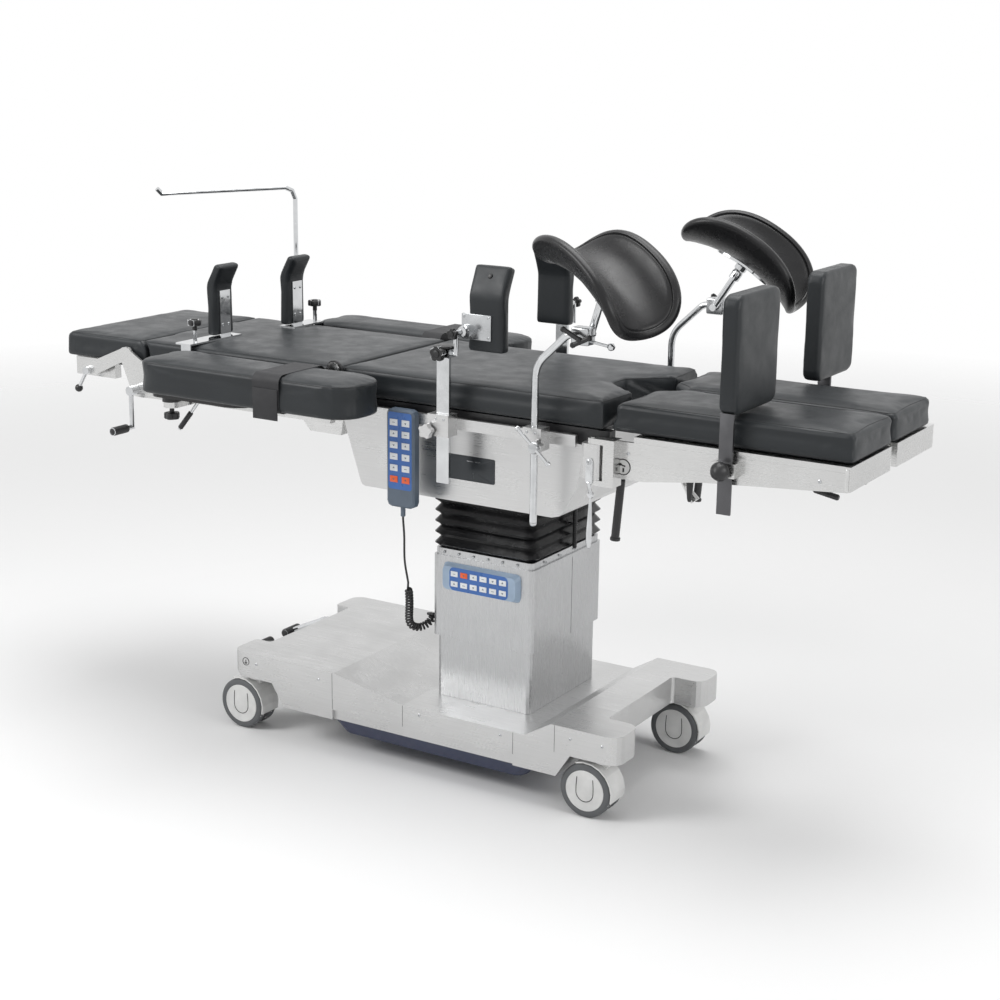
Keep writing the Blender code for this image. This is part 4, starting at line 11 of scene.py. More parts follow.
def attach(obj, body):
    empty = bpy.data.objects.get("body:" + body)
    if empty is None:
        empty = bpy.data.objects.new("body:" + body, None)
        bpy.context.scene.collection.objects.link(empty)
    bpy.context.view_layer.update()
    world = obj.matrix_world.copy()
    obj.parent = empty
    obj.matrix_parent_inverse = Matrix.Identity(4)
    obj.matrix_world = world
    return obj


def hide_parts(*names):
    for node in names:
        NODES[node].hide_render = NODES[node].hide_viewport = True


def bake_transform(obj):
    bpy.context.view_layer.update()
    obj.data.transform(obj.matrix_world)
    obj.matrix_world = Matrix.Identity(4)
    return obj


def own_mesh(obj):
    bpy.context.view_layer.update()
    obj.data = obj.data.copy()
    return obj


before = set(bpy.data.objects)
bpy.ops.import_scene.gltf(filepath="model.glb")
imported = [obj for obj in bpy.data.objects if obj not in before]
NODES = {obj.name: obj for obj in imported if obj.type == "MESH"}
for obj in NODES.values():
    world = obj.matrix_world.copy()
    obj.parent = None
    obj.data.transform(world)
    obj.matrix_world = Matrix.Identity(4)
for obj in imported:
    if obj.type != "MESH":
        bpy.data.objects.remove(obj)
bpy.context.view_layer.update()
NEAR, FAR = -1, 1
SIDES = {"near": NEAR, "far": FAR}
OUTWARD, UPWARD = (0, -1, 0), (0, 0, 1)


def placed(name, data):
    obj = bpy.data.objects.new(name, data)
    bpy.context.scene.collection.objects.link(obj)
    return obj


# Camera, as the photograph was taken.

YAW, PITCH, ROLL, EYE = 0.5502, 0.2567, 0.0121, (2.2677, -3.53, 1.7025)
FOCAL_PIXELS, PHOTO_PIXELS, SENSOR_MM = 1823.15, 1000, 36.0


def make_camera():
    forward = Vector((-sin(YAW) * cos(PITCH), cos(YAW) * cos(PITCH), -sin(PITCH)))
    level = forward.cross(Vector((0, 0, 1))).normalized()
    upright = level.cross(forward)
    right = cos(ROLL) * level + sin(ROLL) * upright
    up = -sin(ROLL) * level + cos(ROLL) * upright
    data = bpy.data.cameras.new("camera")
    data.sensor_width = SENSOR_MM
    data.lens = FOCAL_PIXELS * SENSOR_MM / PHOTO_PIXELS
    data.clip_start, data.clip_end = 0.1, 200
    camera = placed("camera", data)
    turn = Matrix((right, up, -forward)).transposed()
    camera.matrix_world = Matrix.Translation(EYE) @ turn.to_4x4()
    bpy.context.scene.camera = camera


# Shader building.


class Nodes:
    """Helpers that add nodes to one tree; a value is a socket to link from, or a plain setting."""

    def __init__(self, tree):
        self.tree = tree

    def put(self, socket, value):
        if isinstance(value, bpy.types.NodeSocket):
            self.tree.links.new(value, socket)
        else:
            socket.default_value = value

    def fill(self, node, **values):
        for name, value in values.items():
            self.put(node.inputs[name.replace("_", " ")], value)
        return node

    def node(self, kind, **values):
        return self.fill(self.tree.nodes.new("ShaderNode" + kind), **values)

    def combine(self, operation, a, b, clamp=False):
        made = self.node("Math")
        made.operation, made.use_clamp = operation, clamp
        self.put(made.inputs[0], a)
        self.put(made.inputs[1], b)
        return made.outputs[0]

    def spread(self, value, low, high, start=0.3, end=0.7):
        made = self.node("MapRange", Value=value, From_Min=start, From_Max=end, To_Min=low, To_Max=high)
        return made.outputs[0]


class Look(Nodes):
    """One Principled material with its pattern nodes, all in the object's own metres."""

    def __init__(self, name, colour, roughness, metallic=0.0, **sockets):
        self.material = bpy.data.materials.new(name)
        self.material.use_nodes = True
        super().__init__(self.material.node_tree)
        self.shader = self.tree.nodes["Principled BSDF"]
        self.finish(Base_Color=(*colour, 1), Roughness=roughness, Metallic=metallic, **sockets)
        self.material.diffuse_color = (*colour, 1)
        self.place = self.node("TexCoord").outputs["Object"]

    def finish(self, **values):
        self.fill(self.shader, **values)

    def noise(self, scale, detail=2.0, stretch=(1, 1, 1), rough=0.5):
        mapping = self.node("Mapping", Vector=self.place, Scale=stretch)
        made = self.node("TexNoise", Vector=mapping.outputs[0], Scale=scale, Detail=detail, Roughness=rough)
        return made.outputs["Fac"]

    def mix(self, share, a, b):
        made = self.node("Mix")
        made.data_type = "RGBA"
        for socket, value in ((0, share), (6, a), (7, b)):  # the factor and the two colours
            self.put(made.inputs[socket], (*value, 1) if isinstance(value, tuple) else value)
        return made.outputs[2]

    def bump(self, height, distance, strength, **under):
        made = self.node("Bump", Height=height, Distance=distance, Strength=strength, **under)
        self.finish(Normal=made.outputs[0])
        return made.outputs[0]


def shade(colour, share):
    return tuple(min(1, c * share) for c in colour)


def brushed(name, colour, roughness, along, depth):
    """Satin stainless steel: fine lines along one axis, wide soft clouds, fingermarks in the gloss."""
    look = Look(name, colour, roughness, 1.0)
    lines = look.noise(520, 2, along, 0.6)
    clouds = look.mix(look.spread(look.noise(5, 3), 0, 1), shade(colour, 0.94), shade(colour, 1.06))
    marks = look.combine("ADD", look.spread(lines, -0.07, 0.07), look.spread(look.noise(14), -0.04, 0.05))
    look.finish(Base_Color=look.mix(look.spread(lines, 0, 0.4), clouds, shade(colour, 0.88)),
                Roughness=look.combine("ADD", marks, roughness, True))
    look.bump(lines, depth, 0.5)
    return look.material


def leather(name, colour, lighter, roughness, grain, wrinkle):
    """Coated leatherette: fine pebble grain, faint stretch folds, and a rubbed sheen."""
    look = Look(name, colour, roughness, Specular_IOR_Level=0.32, Sheen_Weight=0.03, Sheen_Roughness=0.5)
    patch = look.mix(look.spread(look.noise(7, 3), 0, 1), colour, lighter)
    pores = look.node("TexVoronoi", Vector=look.place, Scale=grain).outputs["Distance"]
    look.finish(Base_Color=look.mix(look.spread(pores, 0, 0.35, 0.1, 0.9), patch, shade(colour, 0.6)),
                Roughness=look.spread(look.noise(24, 3), roughness - 0.06, roughness + 0.08))
    folds = look.bump(look.noise(22, 3, rough=0.55), wrinkle, 0.45)
    look.bump(pores, 0.00016, 0.55, Normal=folds)
    return look.material


def plastic(name, colour, roughness, speckle=700, depth=0.00006, metallic=0.0):
    """Moulded plastic, paint or polished metal: fine orange peel and a little mottling."""
    look = Look(name, colour, roughness, metallic)
    look.finish(Base_Color=look.mix(look.spread(look.noise(30), 0, 1), shade(colour, 0.92),
                                    shade(colour, 1.07)),
                Roughness=look.spread(look.noise(60), max(0.02, roughness - 0.05), roughness + 0.06))
    look.bump(look.noise(speckle), depth, 0.5)
    return look.material


STEEL_X = brushed("steel brushed lengthwise", (0.6, 0.6, 0.598), 0.32, (0.02, 1, 1), 0.000006)
STEEL_Z = brushed("steel brushed upright", (0.49, 0.494, 0.5), 0.27, (1, 1, 0.02), 0.000006)
STEEL_LIGHT = brushed("steel brushed bright", (0.64, 0.64, 0.635), 0.24, (0.03, 1, 1), 0.000005)
CHROME = plastic("polished chrome", (0.62, 0.63, 0.64), 0.09, 40, 0.00001, 1.0)
SATIN = plastic("satin chrome", (0.5, 0.51, 0.52), 0.22, 300, 0.00001, 1.0)
PAD = leather("charcoal leatherette", (0.018, 0.021, 0.0235), (0.0235, 0.027, 0.03), 0.4, 900, 0.00025)
SKIN = leather("black moulded skin", (0.011, 0.011, 0.012), (0.016, 0.016, 0.017), 0.26, 1400, 0.0003)
NAVY = plastic("navy paint", (0.03, 0.038, 0.08), 0.42, 900)
GREY = plastic("grey paint", (0.36, 0.37, 0.39), 0.48, 900)
WHITE = plastic("white moulding", (0.72, 0.72, 0.71), 0.34)
TYRE = plastic("grey tyre", (0.11, 0.115, 0.12), 0.62, 1200, 0.00015)
BLACK = plastic("black moulding", (0.012, 0.012, 0.013), 0.38, 900, 0.0001)
GLOSS_BLACK = plastic("black bellows skin", (0.008, 0.008, 0.009), 0.22, 60, 0.0003)
RUBBER = plastic("black cord rubber", (0.014, 0.014, 0.015), 0.45, 1500, 0.00008)
BLUE = plastic("blue keypad film", (0.045, 0.14, 0.42), 0.3)
PALE_BLUE = plastic("pale blue rim", (0.33, 0.43, 0.56), 0.34)
KEY_WHITE = plastic("white key", (0.78, 0.8, 0.82), 0.35)
KEY_RED = plastic("orange key", (0.8, 0.12, 0.03), 0.35)
SLATE = plastic("slate handset shell", (0.1, 0.13, 0.17), 0.36)
DARK_STEEL = plastic("dark steel", (0.11, 0.11, 0.115), 0.36, 600, 0.00003, 1.0)
# Painted reflection: a dark, fairly glossy colour standing in for the dark reflection in the housing's
# polished face.
PAINTED_REFLECTION_PLATE = plastic("bare dark plate", (0.035, 0.04, 0.045), 0.22, 50, 0.00001, 0.3)
# Painted shade: a near-black laid into seams, folds and grooves where shade falls; the printed signs use it
# as ink too.
SHADE_AND_INK = plastic("dark recess", (0.01, 0.01, 0.011), 0.7)
THREAD = plastic("seam thread", (0.018, 0.019, 0.021), 0.6, 2500, 0.0002)
WEBBING = plastic("strap webbing", (0.016, 0.016, 0.018), 0.62, 1600, 0.0003)

# Studio: soft lamps in a world that is white to the camera and dimmer as a light, and a floor that fades out.

LIT_STRENGTH, SEEN_STRENGTH = 0.42, 1.0
FLOOR_RADIUS, FLOOR_LOW, FADE_START, FADE_END = 14.0, -0.0005, 1.6, 6.0
LAMPS = (  # name, place, size, power, aim
    ("key", (-2.6, -3.2, 3.6), 2.4, 110, (0, 0, 0.7)),
    ("top", (0.2, 0.4, 4.2), 3.0, 95, (0, 0, 0.9)),
    ("side", (4.2, -0.6, 2.2), 2.2, 42, (0.3, 0, 0.7)),
)


def light_it():
    scene = bpy.context.scene
    scene.view_settings.view_transform = "Standard"
    scene.world = bpy.data.worlds.new("studio")
    scene.world.use_nodes = True
    world = Nodes(scene.world.node_tree)
    rays = world.node("LightPath").outputs
    seen = rays["Is Camera Ray"]
    for name in ("Is Glossy Ray", "Is Transmission Ray"):
        seen = world.combine("MAXIMUM", seen, rays[name])
    world.fill(world.tree.nodes["Background"], Color=(1, 1, 1, 1),
               Strength=world.spread(seen, LIT_STRENGTH, SEEN_STRENGTH, 0, 1))
    for name, place, size, power, aim in LAMPS:
        data = bpy.data.lights.new(name, "AREA")
        data.shape, data.size, data.energy = "DISK", size, power
        lamp = placed(name, data)
        lamp.location = place
        lamp.rotation_mode = "QUATERNION"
        lamp.rotation_quaternion = (Vector(aim) - Vector(place)).to_track_quat("-Z", "Y")


def lay_floor():
    bm = bmesh.new()
    bmesh.ops.create_circle(bm, cap_ends=True, segments=96, radius=FLOOR_RADIUS)
    mesh = bpy.data.meshes.new("floor")
    bm.to_mesh(mesh)
    bm.free()
    floor = placed("floor", mesh)
    floor.location.z = FLOOR_LOW
    look = Look("pale floor", (0.9, 0.9, 0.9), 0.8, Specular_IOR_Level=0.2)
    reach = look.node("VectorMath", Vector=look.place)
    reach.operation = "LENGTH"
    blend = look.node("MixShader", Fac=look.spread(reach.outputs["Value"], 0, 1, FADE_START, FADE_END))
    look.put(blend.inputs[1], look.shader.outputs[0])
    look.put(blend.inputs[2], look.node("BsdfTransparent").outputs[0])
    look.fill(look.tree.nodes["Material Output"], Surface=blend.outputs[0])
    mesh.materials.append(look.material)


make_camera()
light_it()
lay_floor()

# Finishes of the CAD nodes that stay.


def dress(mesh, material):
    mesh.materials.clear()
    mesh.materials.append(material)


def wear(material, *names):
    for name in names:
        dress(NODES[name].data, material)


def both(stem):
    return [f"{stem}_{side}" for side in SIDES]


wear(STEEL_X, "base_cover", "saddle_housing", *both("seat_rail"), *both("leg_hinge"))
wear(STEEL_Z, "column_lower_shell", "column_mid_shell", "column_upper_shell")
wear(STEEL_LIGHT, *both("leg_frame"), "back_frame", "head_frame")
wear(NAVY, "base_tray")
wear(GREY, "lift_guide", "lift_tube", "gimbal_cross")
wear(CHROME, "brake_pedal", "head_crank", "head_lever", "screen_rod", *both("side_post"),
     *both("shoulder_post"))
wear(BLACK, "steer_pedal", "seat_frame", *both("arm_plate"))
wear(PALE_BLUE, "control_panel")
wear(SLATE, "handset")
for side in SIDES:
    for end in ("head", "foot"):
        wear(WHITE, f"caster_hood_{side}_{end}", f"caster_wheels_{side}_{end}")

# Mesh building.


def made_piece(name, bm, material, body, angle=40, slot=None):
    """A shown mesh riding on a body, sharp past the angle, or faceted where that is None."""
    mesh = bpy.data.meshes.new(name)
    bmesh.ops.recalc_face_normals(bm, faces=bm.faces)
    bm.to_mesh(mesh)
    bm.free()
    if angle:
        mesh.shade_smooth()
        mesh.set_sharp_from_angle(angle=radians(angle))
    mesh.materials.append(material)
    obj = placed(name, mesh)
    if body:
        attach(obj, body)
    return obj


def on_side(bm, side):
    return bm if side == NEAR else moved(bm, Matrix.Diagonal((1, -1, 1, 1)))


def sided(stem, side, bm, material, body, **more):
    """A piece that is modelled on the near side, and mirrored for the far one."""
    return made_piece(f"{stem}_{side}", on_side(bm, SIDES[side]), material, body, **more)


def solid(points, faces):
    bm = bmesh.new()
    verts = [bm.verts.new(point) for point in points]
    for face in faces:
        bm.faces.new([verts[index] for index in face])
    return bm


def loft(rings, caps=True):
    count = len(rings[0])
    points = [point for ring in rings for point in ring]
    last = len(points) - count
    faces = [list(range(count)), list(range(last, last + count))] if caps else []
    for low in range(0, last, count):
        for i in range(count):
            j = (i + 1) % count
            faces.append([low + i, low + j, low + count + j, low + count + i])
    return solid(points, faces)


def joined(*parts):
    whole = bmesh.new()
    for part in parts:
        mesh = bpy.data.meshes.new("part")
        part.to_mesh(mesh)
        part.free()
        whole.from_mesh(mesh)
        bpy.data.meshes.remove(mesh)
    return whole


def moved(bm, matrix):
    bmesh.ops.transform(bm, matrix=matrix, verts=bm.verts)
    if matrix.determinant() < 0:
        bmesh.ops.reverse_faces(bm, faces=bm.faces)
    return bm


def rounded(bm, radius, segments):
    bmesh.ops.recalc_face_normals(bm, faces=bm.faces)
    bmesh.ops.bevel(bm, geom=list(bm.edges), offset=radius, segments=segments, profile=0.5, affect="EDGES")
    return bm


def circle(count):
    """The (cosine, sine) of each corner of a regular polygon."""
    return [(cos(tau * k / count), sin(tau * k / count)) for k in range(count)]


def arc(x, z, radius, angles, y):
    return [(x + radius * cos(a), y, z + radius * sin(a)) for a in angles]


def tube(points, radius, sides=12):
    points = [Vector(point) for point in points]
    runs = [(b - a).normalized() for a, b in zip(points, points[1:])]
    side = runs[0].orthogonal().normalized()
    rings = []
    for i, point in enumerate(points):
        before, after = runs[max(i - 1, 0)], runs[min(i, len(runs) - 1)]
        if i:
            side = before.rotation_difference(after) @ side
        middle = (before + after).normalized()
        across = (side - middle * side.dot(middle)).normalized()
        other = middle.cross(across)
        rings.append([point + (across * c + other * s) * radius for c, s in circle(sides)])
    return loft(rings)


def bent(points, radius, steps=6):
    """The points with each inner corner turned into an arc."""
    points = [Vector(p) for p in points]
    out = [points[0]]
    for before, corner, after in zip(points, points[1:], points[2:]):
        a, b = (before - corner).normalized(), (after - corner).normalized()
        reach = min(radius, 0.45 * (before - corner).length, 0.45 * (after - corner).length)
        start, end = corner + a * reach, corner + b * reach
        for k in range(steps + 1):
            t = k / steps
            out.append(start * (1 - t) ** 2 + corner * 2 * t * (1 - t) + end * t**2)
    return [*out, points[-1]]


def lathe(profile, place, axis, sides=24):
    """A revolved solid; the profile is (radius, along) in millimetres and ends on the axis."""
    axis = Vector(axis).normalized()
    across = axis.orthogonal().normalized()
    other = axis.cross(across)
    rings, points = [], []
    for radius, along in profile:
        corners = circle(sides) if radius > 1e-4 else [(1, 0)]
        rings.append(range(len(points), len(points) + len(corners)))
        middle = Vector(place) + axis * along / 1000
        points += [middle + (across * c + other * s) * radius / 1000 for c, s in corners]
    faces = []
    for first, second in zip(rings, rings[1:]):
        for i in range(sides):
            j = (i + 1) % sides
            face = [first[i % len(first)], first[j % len(first)], second[j % len(second)],
                    second[i % len(second)]]
            faces.append(list(dict.fromkeys(face)))
    return solid(points, faces)


def mm(*pairs):
    return [(u / 1000, v / 1000) for u, v in pairs]


def box_of(x, y, z, bevel=0.0, steps=2):
    (x0, x1), (y0, y1), (z0, z1) = x, y, z
    bm = loft([[(x0, y0, w), (x1, y0, w), (x1, y1, w), (x0, y1, w)] for w in (z0, z1)])
    return rounded(bm, bevel, steps) if bevel else bm


def around(middle, half):
    return (middle - half, middle + half)


def rounded_plan(half_u, half_v, radius, steps=6):
    points = []
    for k, (su, sv) in enumerate(((1, 1), (-1, 1), (-1, -1), (1, -1))):
        for step in range(steps + 1):
            angle = radians(90 * k + 90 * step / steps)
            points.append((su * (half_u - radius) + radius * cos(angle),
                           sv * (half_v - radius) + radius * sin(angle)))
    return points


def facing(outline, x, z, steps):
    """A plate about (x, z) whose outline is seen from the front; each step is (scale, y)."""
    return loft([[(x + u * scale, y, z + v * scale) for u, v in outline] for scale, y in steps])


def hollow(rings):
    """Rings joined from the last back to the first."""
    bm = loft([*rings, rings[0]], caps=False)
    bmesh.ops.remove_doubles(bm, verts=bm.verts, dist=0.00001)
    return bm


def poly_curve(name, radius, resolution, material):
    curve = bpy.data.curves.new(name, "CURVE")
    curve.dimensions = "3D"
    curve.bevel_depth, curve.bevel_resolution = radius, resolution
    curve.materials.append(material)
    return curve


def add_line(curve, points, closed=False):
    spline = curve.splines.new("POLY")
    spline.points.add(len(points) - 1)
    for target, point in zip(spline.points, points):
        target.co = (*point, 1)
    spline.use_cyclic_u = closed


# Cushions: each starts as its CAD solid drawn in a little, and is blown up as stitched fabric over foam.

QUEUE = []
LAST_FRAME = 20
FABRIC = {
    "quality": 4, "mass": 0.35, "tension_stiffness": 25, "compression_stiffness": 25, "shear_stiffness": 12,
    "bending_stiffness": 1.5, "use_pressure": True, "uniform_pressure_force": 4.0,
}


def cushion(node, name, body, voxel=0.005, cap=0.0025, drawn=0.002, flat_below=None, shape=None):
    """Queues a cushion: remeshed, drawn in, held under flat_below and let out by no more than its cap."""
    mesh = NODES[node].data.copy()
    if shape:
        bmesh.ops.recalc_face_normals(shape, faces=shape.faces)
        shape.to_mesh(mesh)
        shape.free()
    mesh.name = name
    obj = placed(name, mesh)
    remesh = obj.modifiers.new("remesh", "REMESH")
    remesh.mode, remesh.voxel_size = "VOXEL", voxel
    flatten(obj)
    points = read_points(obj.data)
    normals = np.empty(len(obj.data.vertices) * 3, np.float32)
    obj.data.vertices.foreach_get("normal", normals)
    points = smoothed(obj.data, points - normals.reshape(-1, 3) * drawn)
    write_points(obj.data, points)
    dress(obj.data, PAD)
    QUEUE.append((obj, points, body, node, cap, flat_below))


def flatten(obj):
    """Applies the modifiers."""
    graph = bpy.context.evaluated_depsgraph_get()
    graph.update()
    made = bpy.data.meshes.new_from_object(obj.evaluated_get(graph))
    obj.modifiers.clear()
    obj.data = made


def read_points(mesh):
    points = np.empty(len(mesh.vertices) * 3, np.float32)
    mesh.vertices.foreach_get("co", points)
    return points.reshape(-1, 3).astype(float)


def write_points(mesh, points):
    mesh.vertices.foreach_set("co", points.astype(np.float32).ravel())
    mesh.update()


def smoothed(mesh, points):
    """Each point moved halfway to the middle of its neighbours."""
    edges = np.empty(len(mesh.edges) * 2, np.int32)
    mesh.edges.foreach_get("vertices", edges)
    a, b = edges.reshape(-1, 2).T
    degree = np.bincount(np.concatenate([a, b]), minlength=len(points))[:, None]
    total = np.zeros_like(points)
    np.add.at(total, a, points[b])
    np.add.at(total, b, points[a])
    return points * 0.5 + total / np.maximum(degree, 1) * 0.5


def sew(obj, points, flat_below):
    cloth = obj.modifiers.new("cloth", "CLOTH")
    for name, value in FABRIC.items():
        setattr(cloth.settings, name, value)
    cloth.settings.effector_weights.gravity = 0
    cloth.collision_settings.use_collision = cloth.collision_settings.use_self_collision = False
    cloth.point_cache.frame_start, cloth.point_cache.frame_end = 1, LAST_FRAME
    if flat_below is not None:
        held = obj.vertex_groups.new(name="held")
        held.add([int(i) for i in np.nonzero(points[:, 2] < flat_below)[0]], 1.0, "REPLACE")
        cloth.settings.vertex_group_mass = "held"


def blow_up():
    """Every queued cushion is simulated together, then held within its cap."""
    for obj, points, *_, flat_below in QUEUE:
        sew(obj, points, flat_below)
    for frame_number in range(1, LAST_FRAME + 1):
        bpy.context.scene.frame_set(frame_number)
    graph = bpy.context.evaluated_depsgraph_get()
    for obj, points, _, _, cap, _ in QUEUE:
        shift = read_points(obj.evaluated_get(graph).data) - points
        far = np.linalg.norm(shift, axis=1, keepdims=True)
        held_in = np.where(far > 1e-9, cap * np.tanh(far / cap) / np.maximum(far, 1e-9), 0)
        obj.modifiers.clear()
        obj.vertex_groups.clear()
        write_points(obj.data, smoothed(obj.data, points + shift * held_in))
    bpy.context.scene.frame_set(1)
    for obj, _, body, node, *_ in QUEUE:
        obj.data.shade_smooth()
        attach(obj, body)
        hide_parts(node)


TOP_PAD_HELD, ARM_PAD_HELD = 0.879, 0.861
for node, body in (("head_pad", "head"), ("back_pad", "back"), ("seat_pad", "table"),
                   ("leg_pad_near", "leg_near"), ("leg_pad_far", "leg_far")):
    cushion(node, node + "_cushion", body, flat_below=TOP_PAD_HELD)
for side in SIDES:
    cushion(f"arm_board_{side}", f"arm_{side}_cushion", f"arm_{side}", flat_below=ARM_PAD_HELD)

# Supports: saddles on their stems, shoulder, side and foot pads, with their plates, bars and knobs.

TOP_Z, SEAT_GAP = 0.94, 0.0003
POST_Y, POST_RADIUS, POST_LOW, CLAMP_WIDTH = 0.27, 0.008, 0.66, 0.03
REST_LENGTH, REST_WIDTH, REST_THICK = 0.315, 0.275, 0.022
TROUGH, ARCH, SQUARENESS = 0.105, 0.33, 2.8
SADDLES = {  # clamp, rise to the pad, pitch and turn in degrees
    "near": (Vector((0.4685, -POST_Y, 1.078)), Vector((0.04, 0, 0.113)), 26, -22),
    "far": (Vector((0.5185, -POST_Y, 1.078)), Vector((0.068, 0, 0.11)), 31, -8),
}
KNOB_SIDES, KNOB_LOBES, KNOB_DIP = 60, 5, 0.0033


def lobed(place, axis, radius, thickness):
    """A moulded hand knob: rounded lobes, a dished face and a small cap; axis points out of its face."""
    axis = Vector(axis).normalized()
    across = Vector((0, 0, 1)) if abs(axis.z) < 0.5 else Vector((1, 0, 0))
    across = (across - axis * across.dot(axis)).normalized()
    other = axis.cross(across)
    levels = (
        (0.3, 0.0), (0.86, 0.0), (0.97, 0.07), (1.0, 0.22), (1.0, 0.76), (0.975, 0.9), (0.9, 0.985),
        (0.82, 1.0), (0.55, 0.955), (0.46, 0.95), (0.44, 1.05), (0.38, 1.1), (0.12, 1.12),
    )
    rings = []
    for share, along in levels:
        ring = []
        for k, (c, s) in enumerate(circle(KNOB_SIDES)):
            wave = 0.5 - 0.5 * cos(KNOB_LOBES * tau * k / KNOB_SIDES)
            reach = share * (radius - (KNOB_DIP * wave**1.5 if share > 0.6 else 0))
            ring.append(Vector(place) + axis * along * thickness + (across * c + other * s) * reach)
        rings.append(ring)
    return loft(rings)


def knob_at(name, place, axis, body, way=NEAR, radius=0.0178, thickness=0.0148, slot=None):
    stem = lathe([(0, -12), (5.6, -12), (5.6, -1), (7.8, 0), (0, 0)], place, axis)
    knob = joined(lobed(place, axis, radius, thickness), stem)
    return made_piece(name, on_side(knob, way), BLACK, body, angle=32, slot=slot)


def screw_head(place, axis, radius=3.5, height=1.6):
    """A domed screw head with a round socket."""
    dome = ((0, 0.35), (0.4, 0.35), (0.42, 1), (0.5, 1), (0.8, 0.86), (1, 0.4))
    return lathe([*[(radius * r, height * h) for r, h in dome], (radius, -0.4), (0, -0.4)], place, axis, 18)


def screws_at(places, axis=OUTWARD, radius=3.5):
    return joined(*[screw_head(place, axis, radius) for place in places])


def saddle_point(u, v, lift):
    across, along = v / TROUGH, u / ARCH
    radius = TROUGH - lift
    y = radius * sin(across)
    z = TROUGH - radius * cos(across)
    return Vector(((ARCH + z) * sin(along), y, (ARCH + z) * cos(along) - ARCH))


def saddle_ring(share, lift, sides=112):
    ring = []
    for c, s in circle(sides):
        reach = (abs(c) ** SQUARENESS + abs(s) ** SQUARENESS) ** (-1 / SQUARENESS)
        u, v = share * reach * c * REST_LENGTH / 2, share * reach * s * REST_WIDTH / 2
        ring.append(saddle_point(u, v, lift))
    return ring


def saddle_shell():
    """The moulded pad: a soft dish, a welt line inside the rim and a rolled edge."""
    half = REST_THICK / 2
    upper = [(0.02, 0), (0.15, 0), (0.3, 0), (0.45, 0.0003), (0.6, 0.0008), (0.74, 0.0014), (0.84, 0.0018),
             (0.885, 0.0018), (0.905, 0.0004), (0.915, -0.0012), (0.925, 0.0004), (0.94, 0.0016)]
    rings = [saddle_ring(share, -half + 0.001) for share in (0.02, 0.2, 0.4, 0.6, 0.8, 0.9)]
    for k in range(9):
        turn = radians(-80 + 160 * k / 8)
        rings.append(saddle_ring(1.004 - 0.062 * (1 - cos(turn)), half * 1.02 * sin(turn)))
    rings += [saddle_ring(share, half + lift) for share, lift in reversed(upper)]
    return loft(rings)


def saddle_rest(side):
    clamp, raised, pitch, turn = SADDLES[side]
    body, foot = f"leg_rest_{side}", clamp + raised
    spun = Matrix.Rotation(radians(turn), 4, "Z") @ Matrix.Rotation(radians(pitch), 4, "Y")
    under = Matrix.Translation(foot) @ spun
    pad = sided("saddle", side, moved(saddle_shell(), under), SKIN, body, angle=70, slot="foam")
    oval = [(0.075 * c, 0.032 * s) for c, s in circle(40)]
    plate = loft([[under @ saddle_point(x * s, y * s, -REST_THICK / 2 - drop) for x, y in oval]
                  for s, drop in ((1.0, -0.001), (1.0, 0.0035), (0.9, 0.005), (0.4, 0.005))])
    start = Vector((clamp.x, -POST_Y + CLAMP_WIDTH / 2 + POST_RADIUS + 0.0032, clamp.z))
    top = foot + Vector((0, CLAMP_WIDTH / 2, 0))
    line = bent([start - Vector((0, 0.01, 0)), start, start.lerp(top, 0.93)], 0.004)
    stem = tube(line, POST_RADIUS * 1.02, 24)
    outer = (clamp.x, -POST_Y - CLAMP_WIDTH / 2 - 0.001, clamp.z)
    pin = tube([outer, start + Vector((0, POST_RADIUS, 0))], POST_RADIUS * 1.01, 24)
    collar = lathe([(0, -1), (12.5, 0), (12.5, 17), (10.8, 21), (0, 21)], start.lerp(top, 0.62),
                   top - start, 28)
    ball = lathe([(0, -14), (9, -12), (14.2, -5), (14.2, 5), (9, 10), (0, 11)], start.lerp(top, 0.86),
                 top - start, 28)
    metal = joined(plate, stem, pin, collar, ball)
    sided("saddle_stem", side, metal, CHROME, body, angle=35, slot="chrome")
    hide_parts(body)


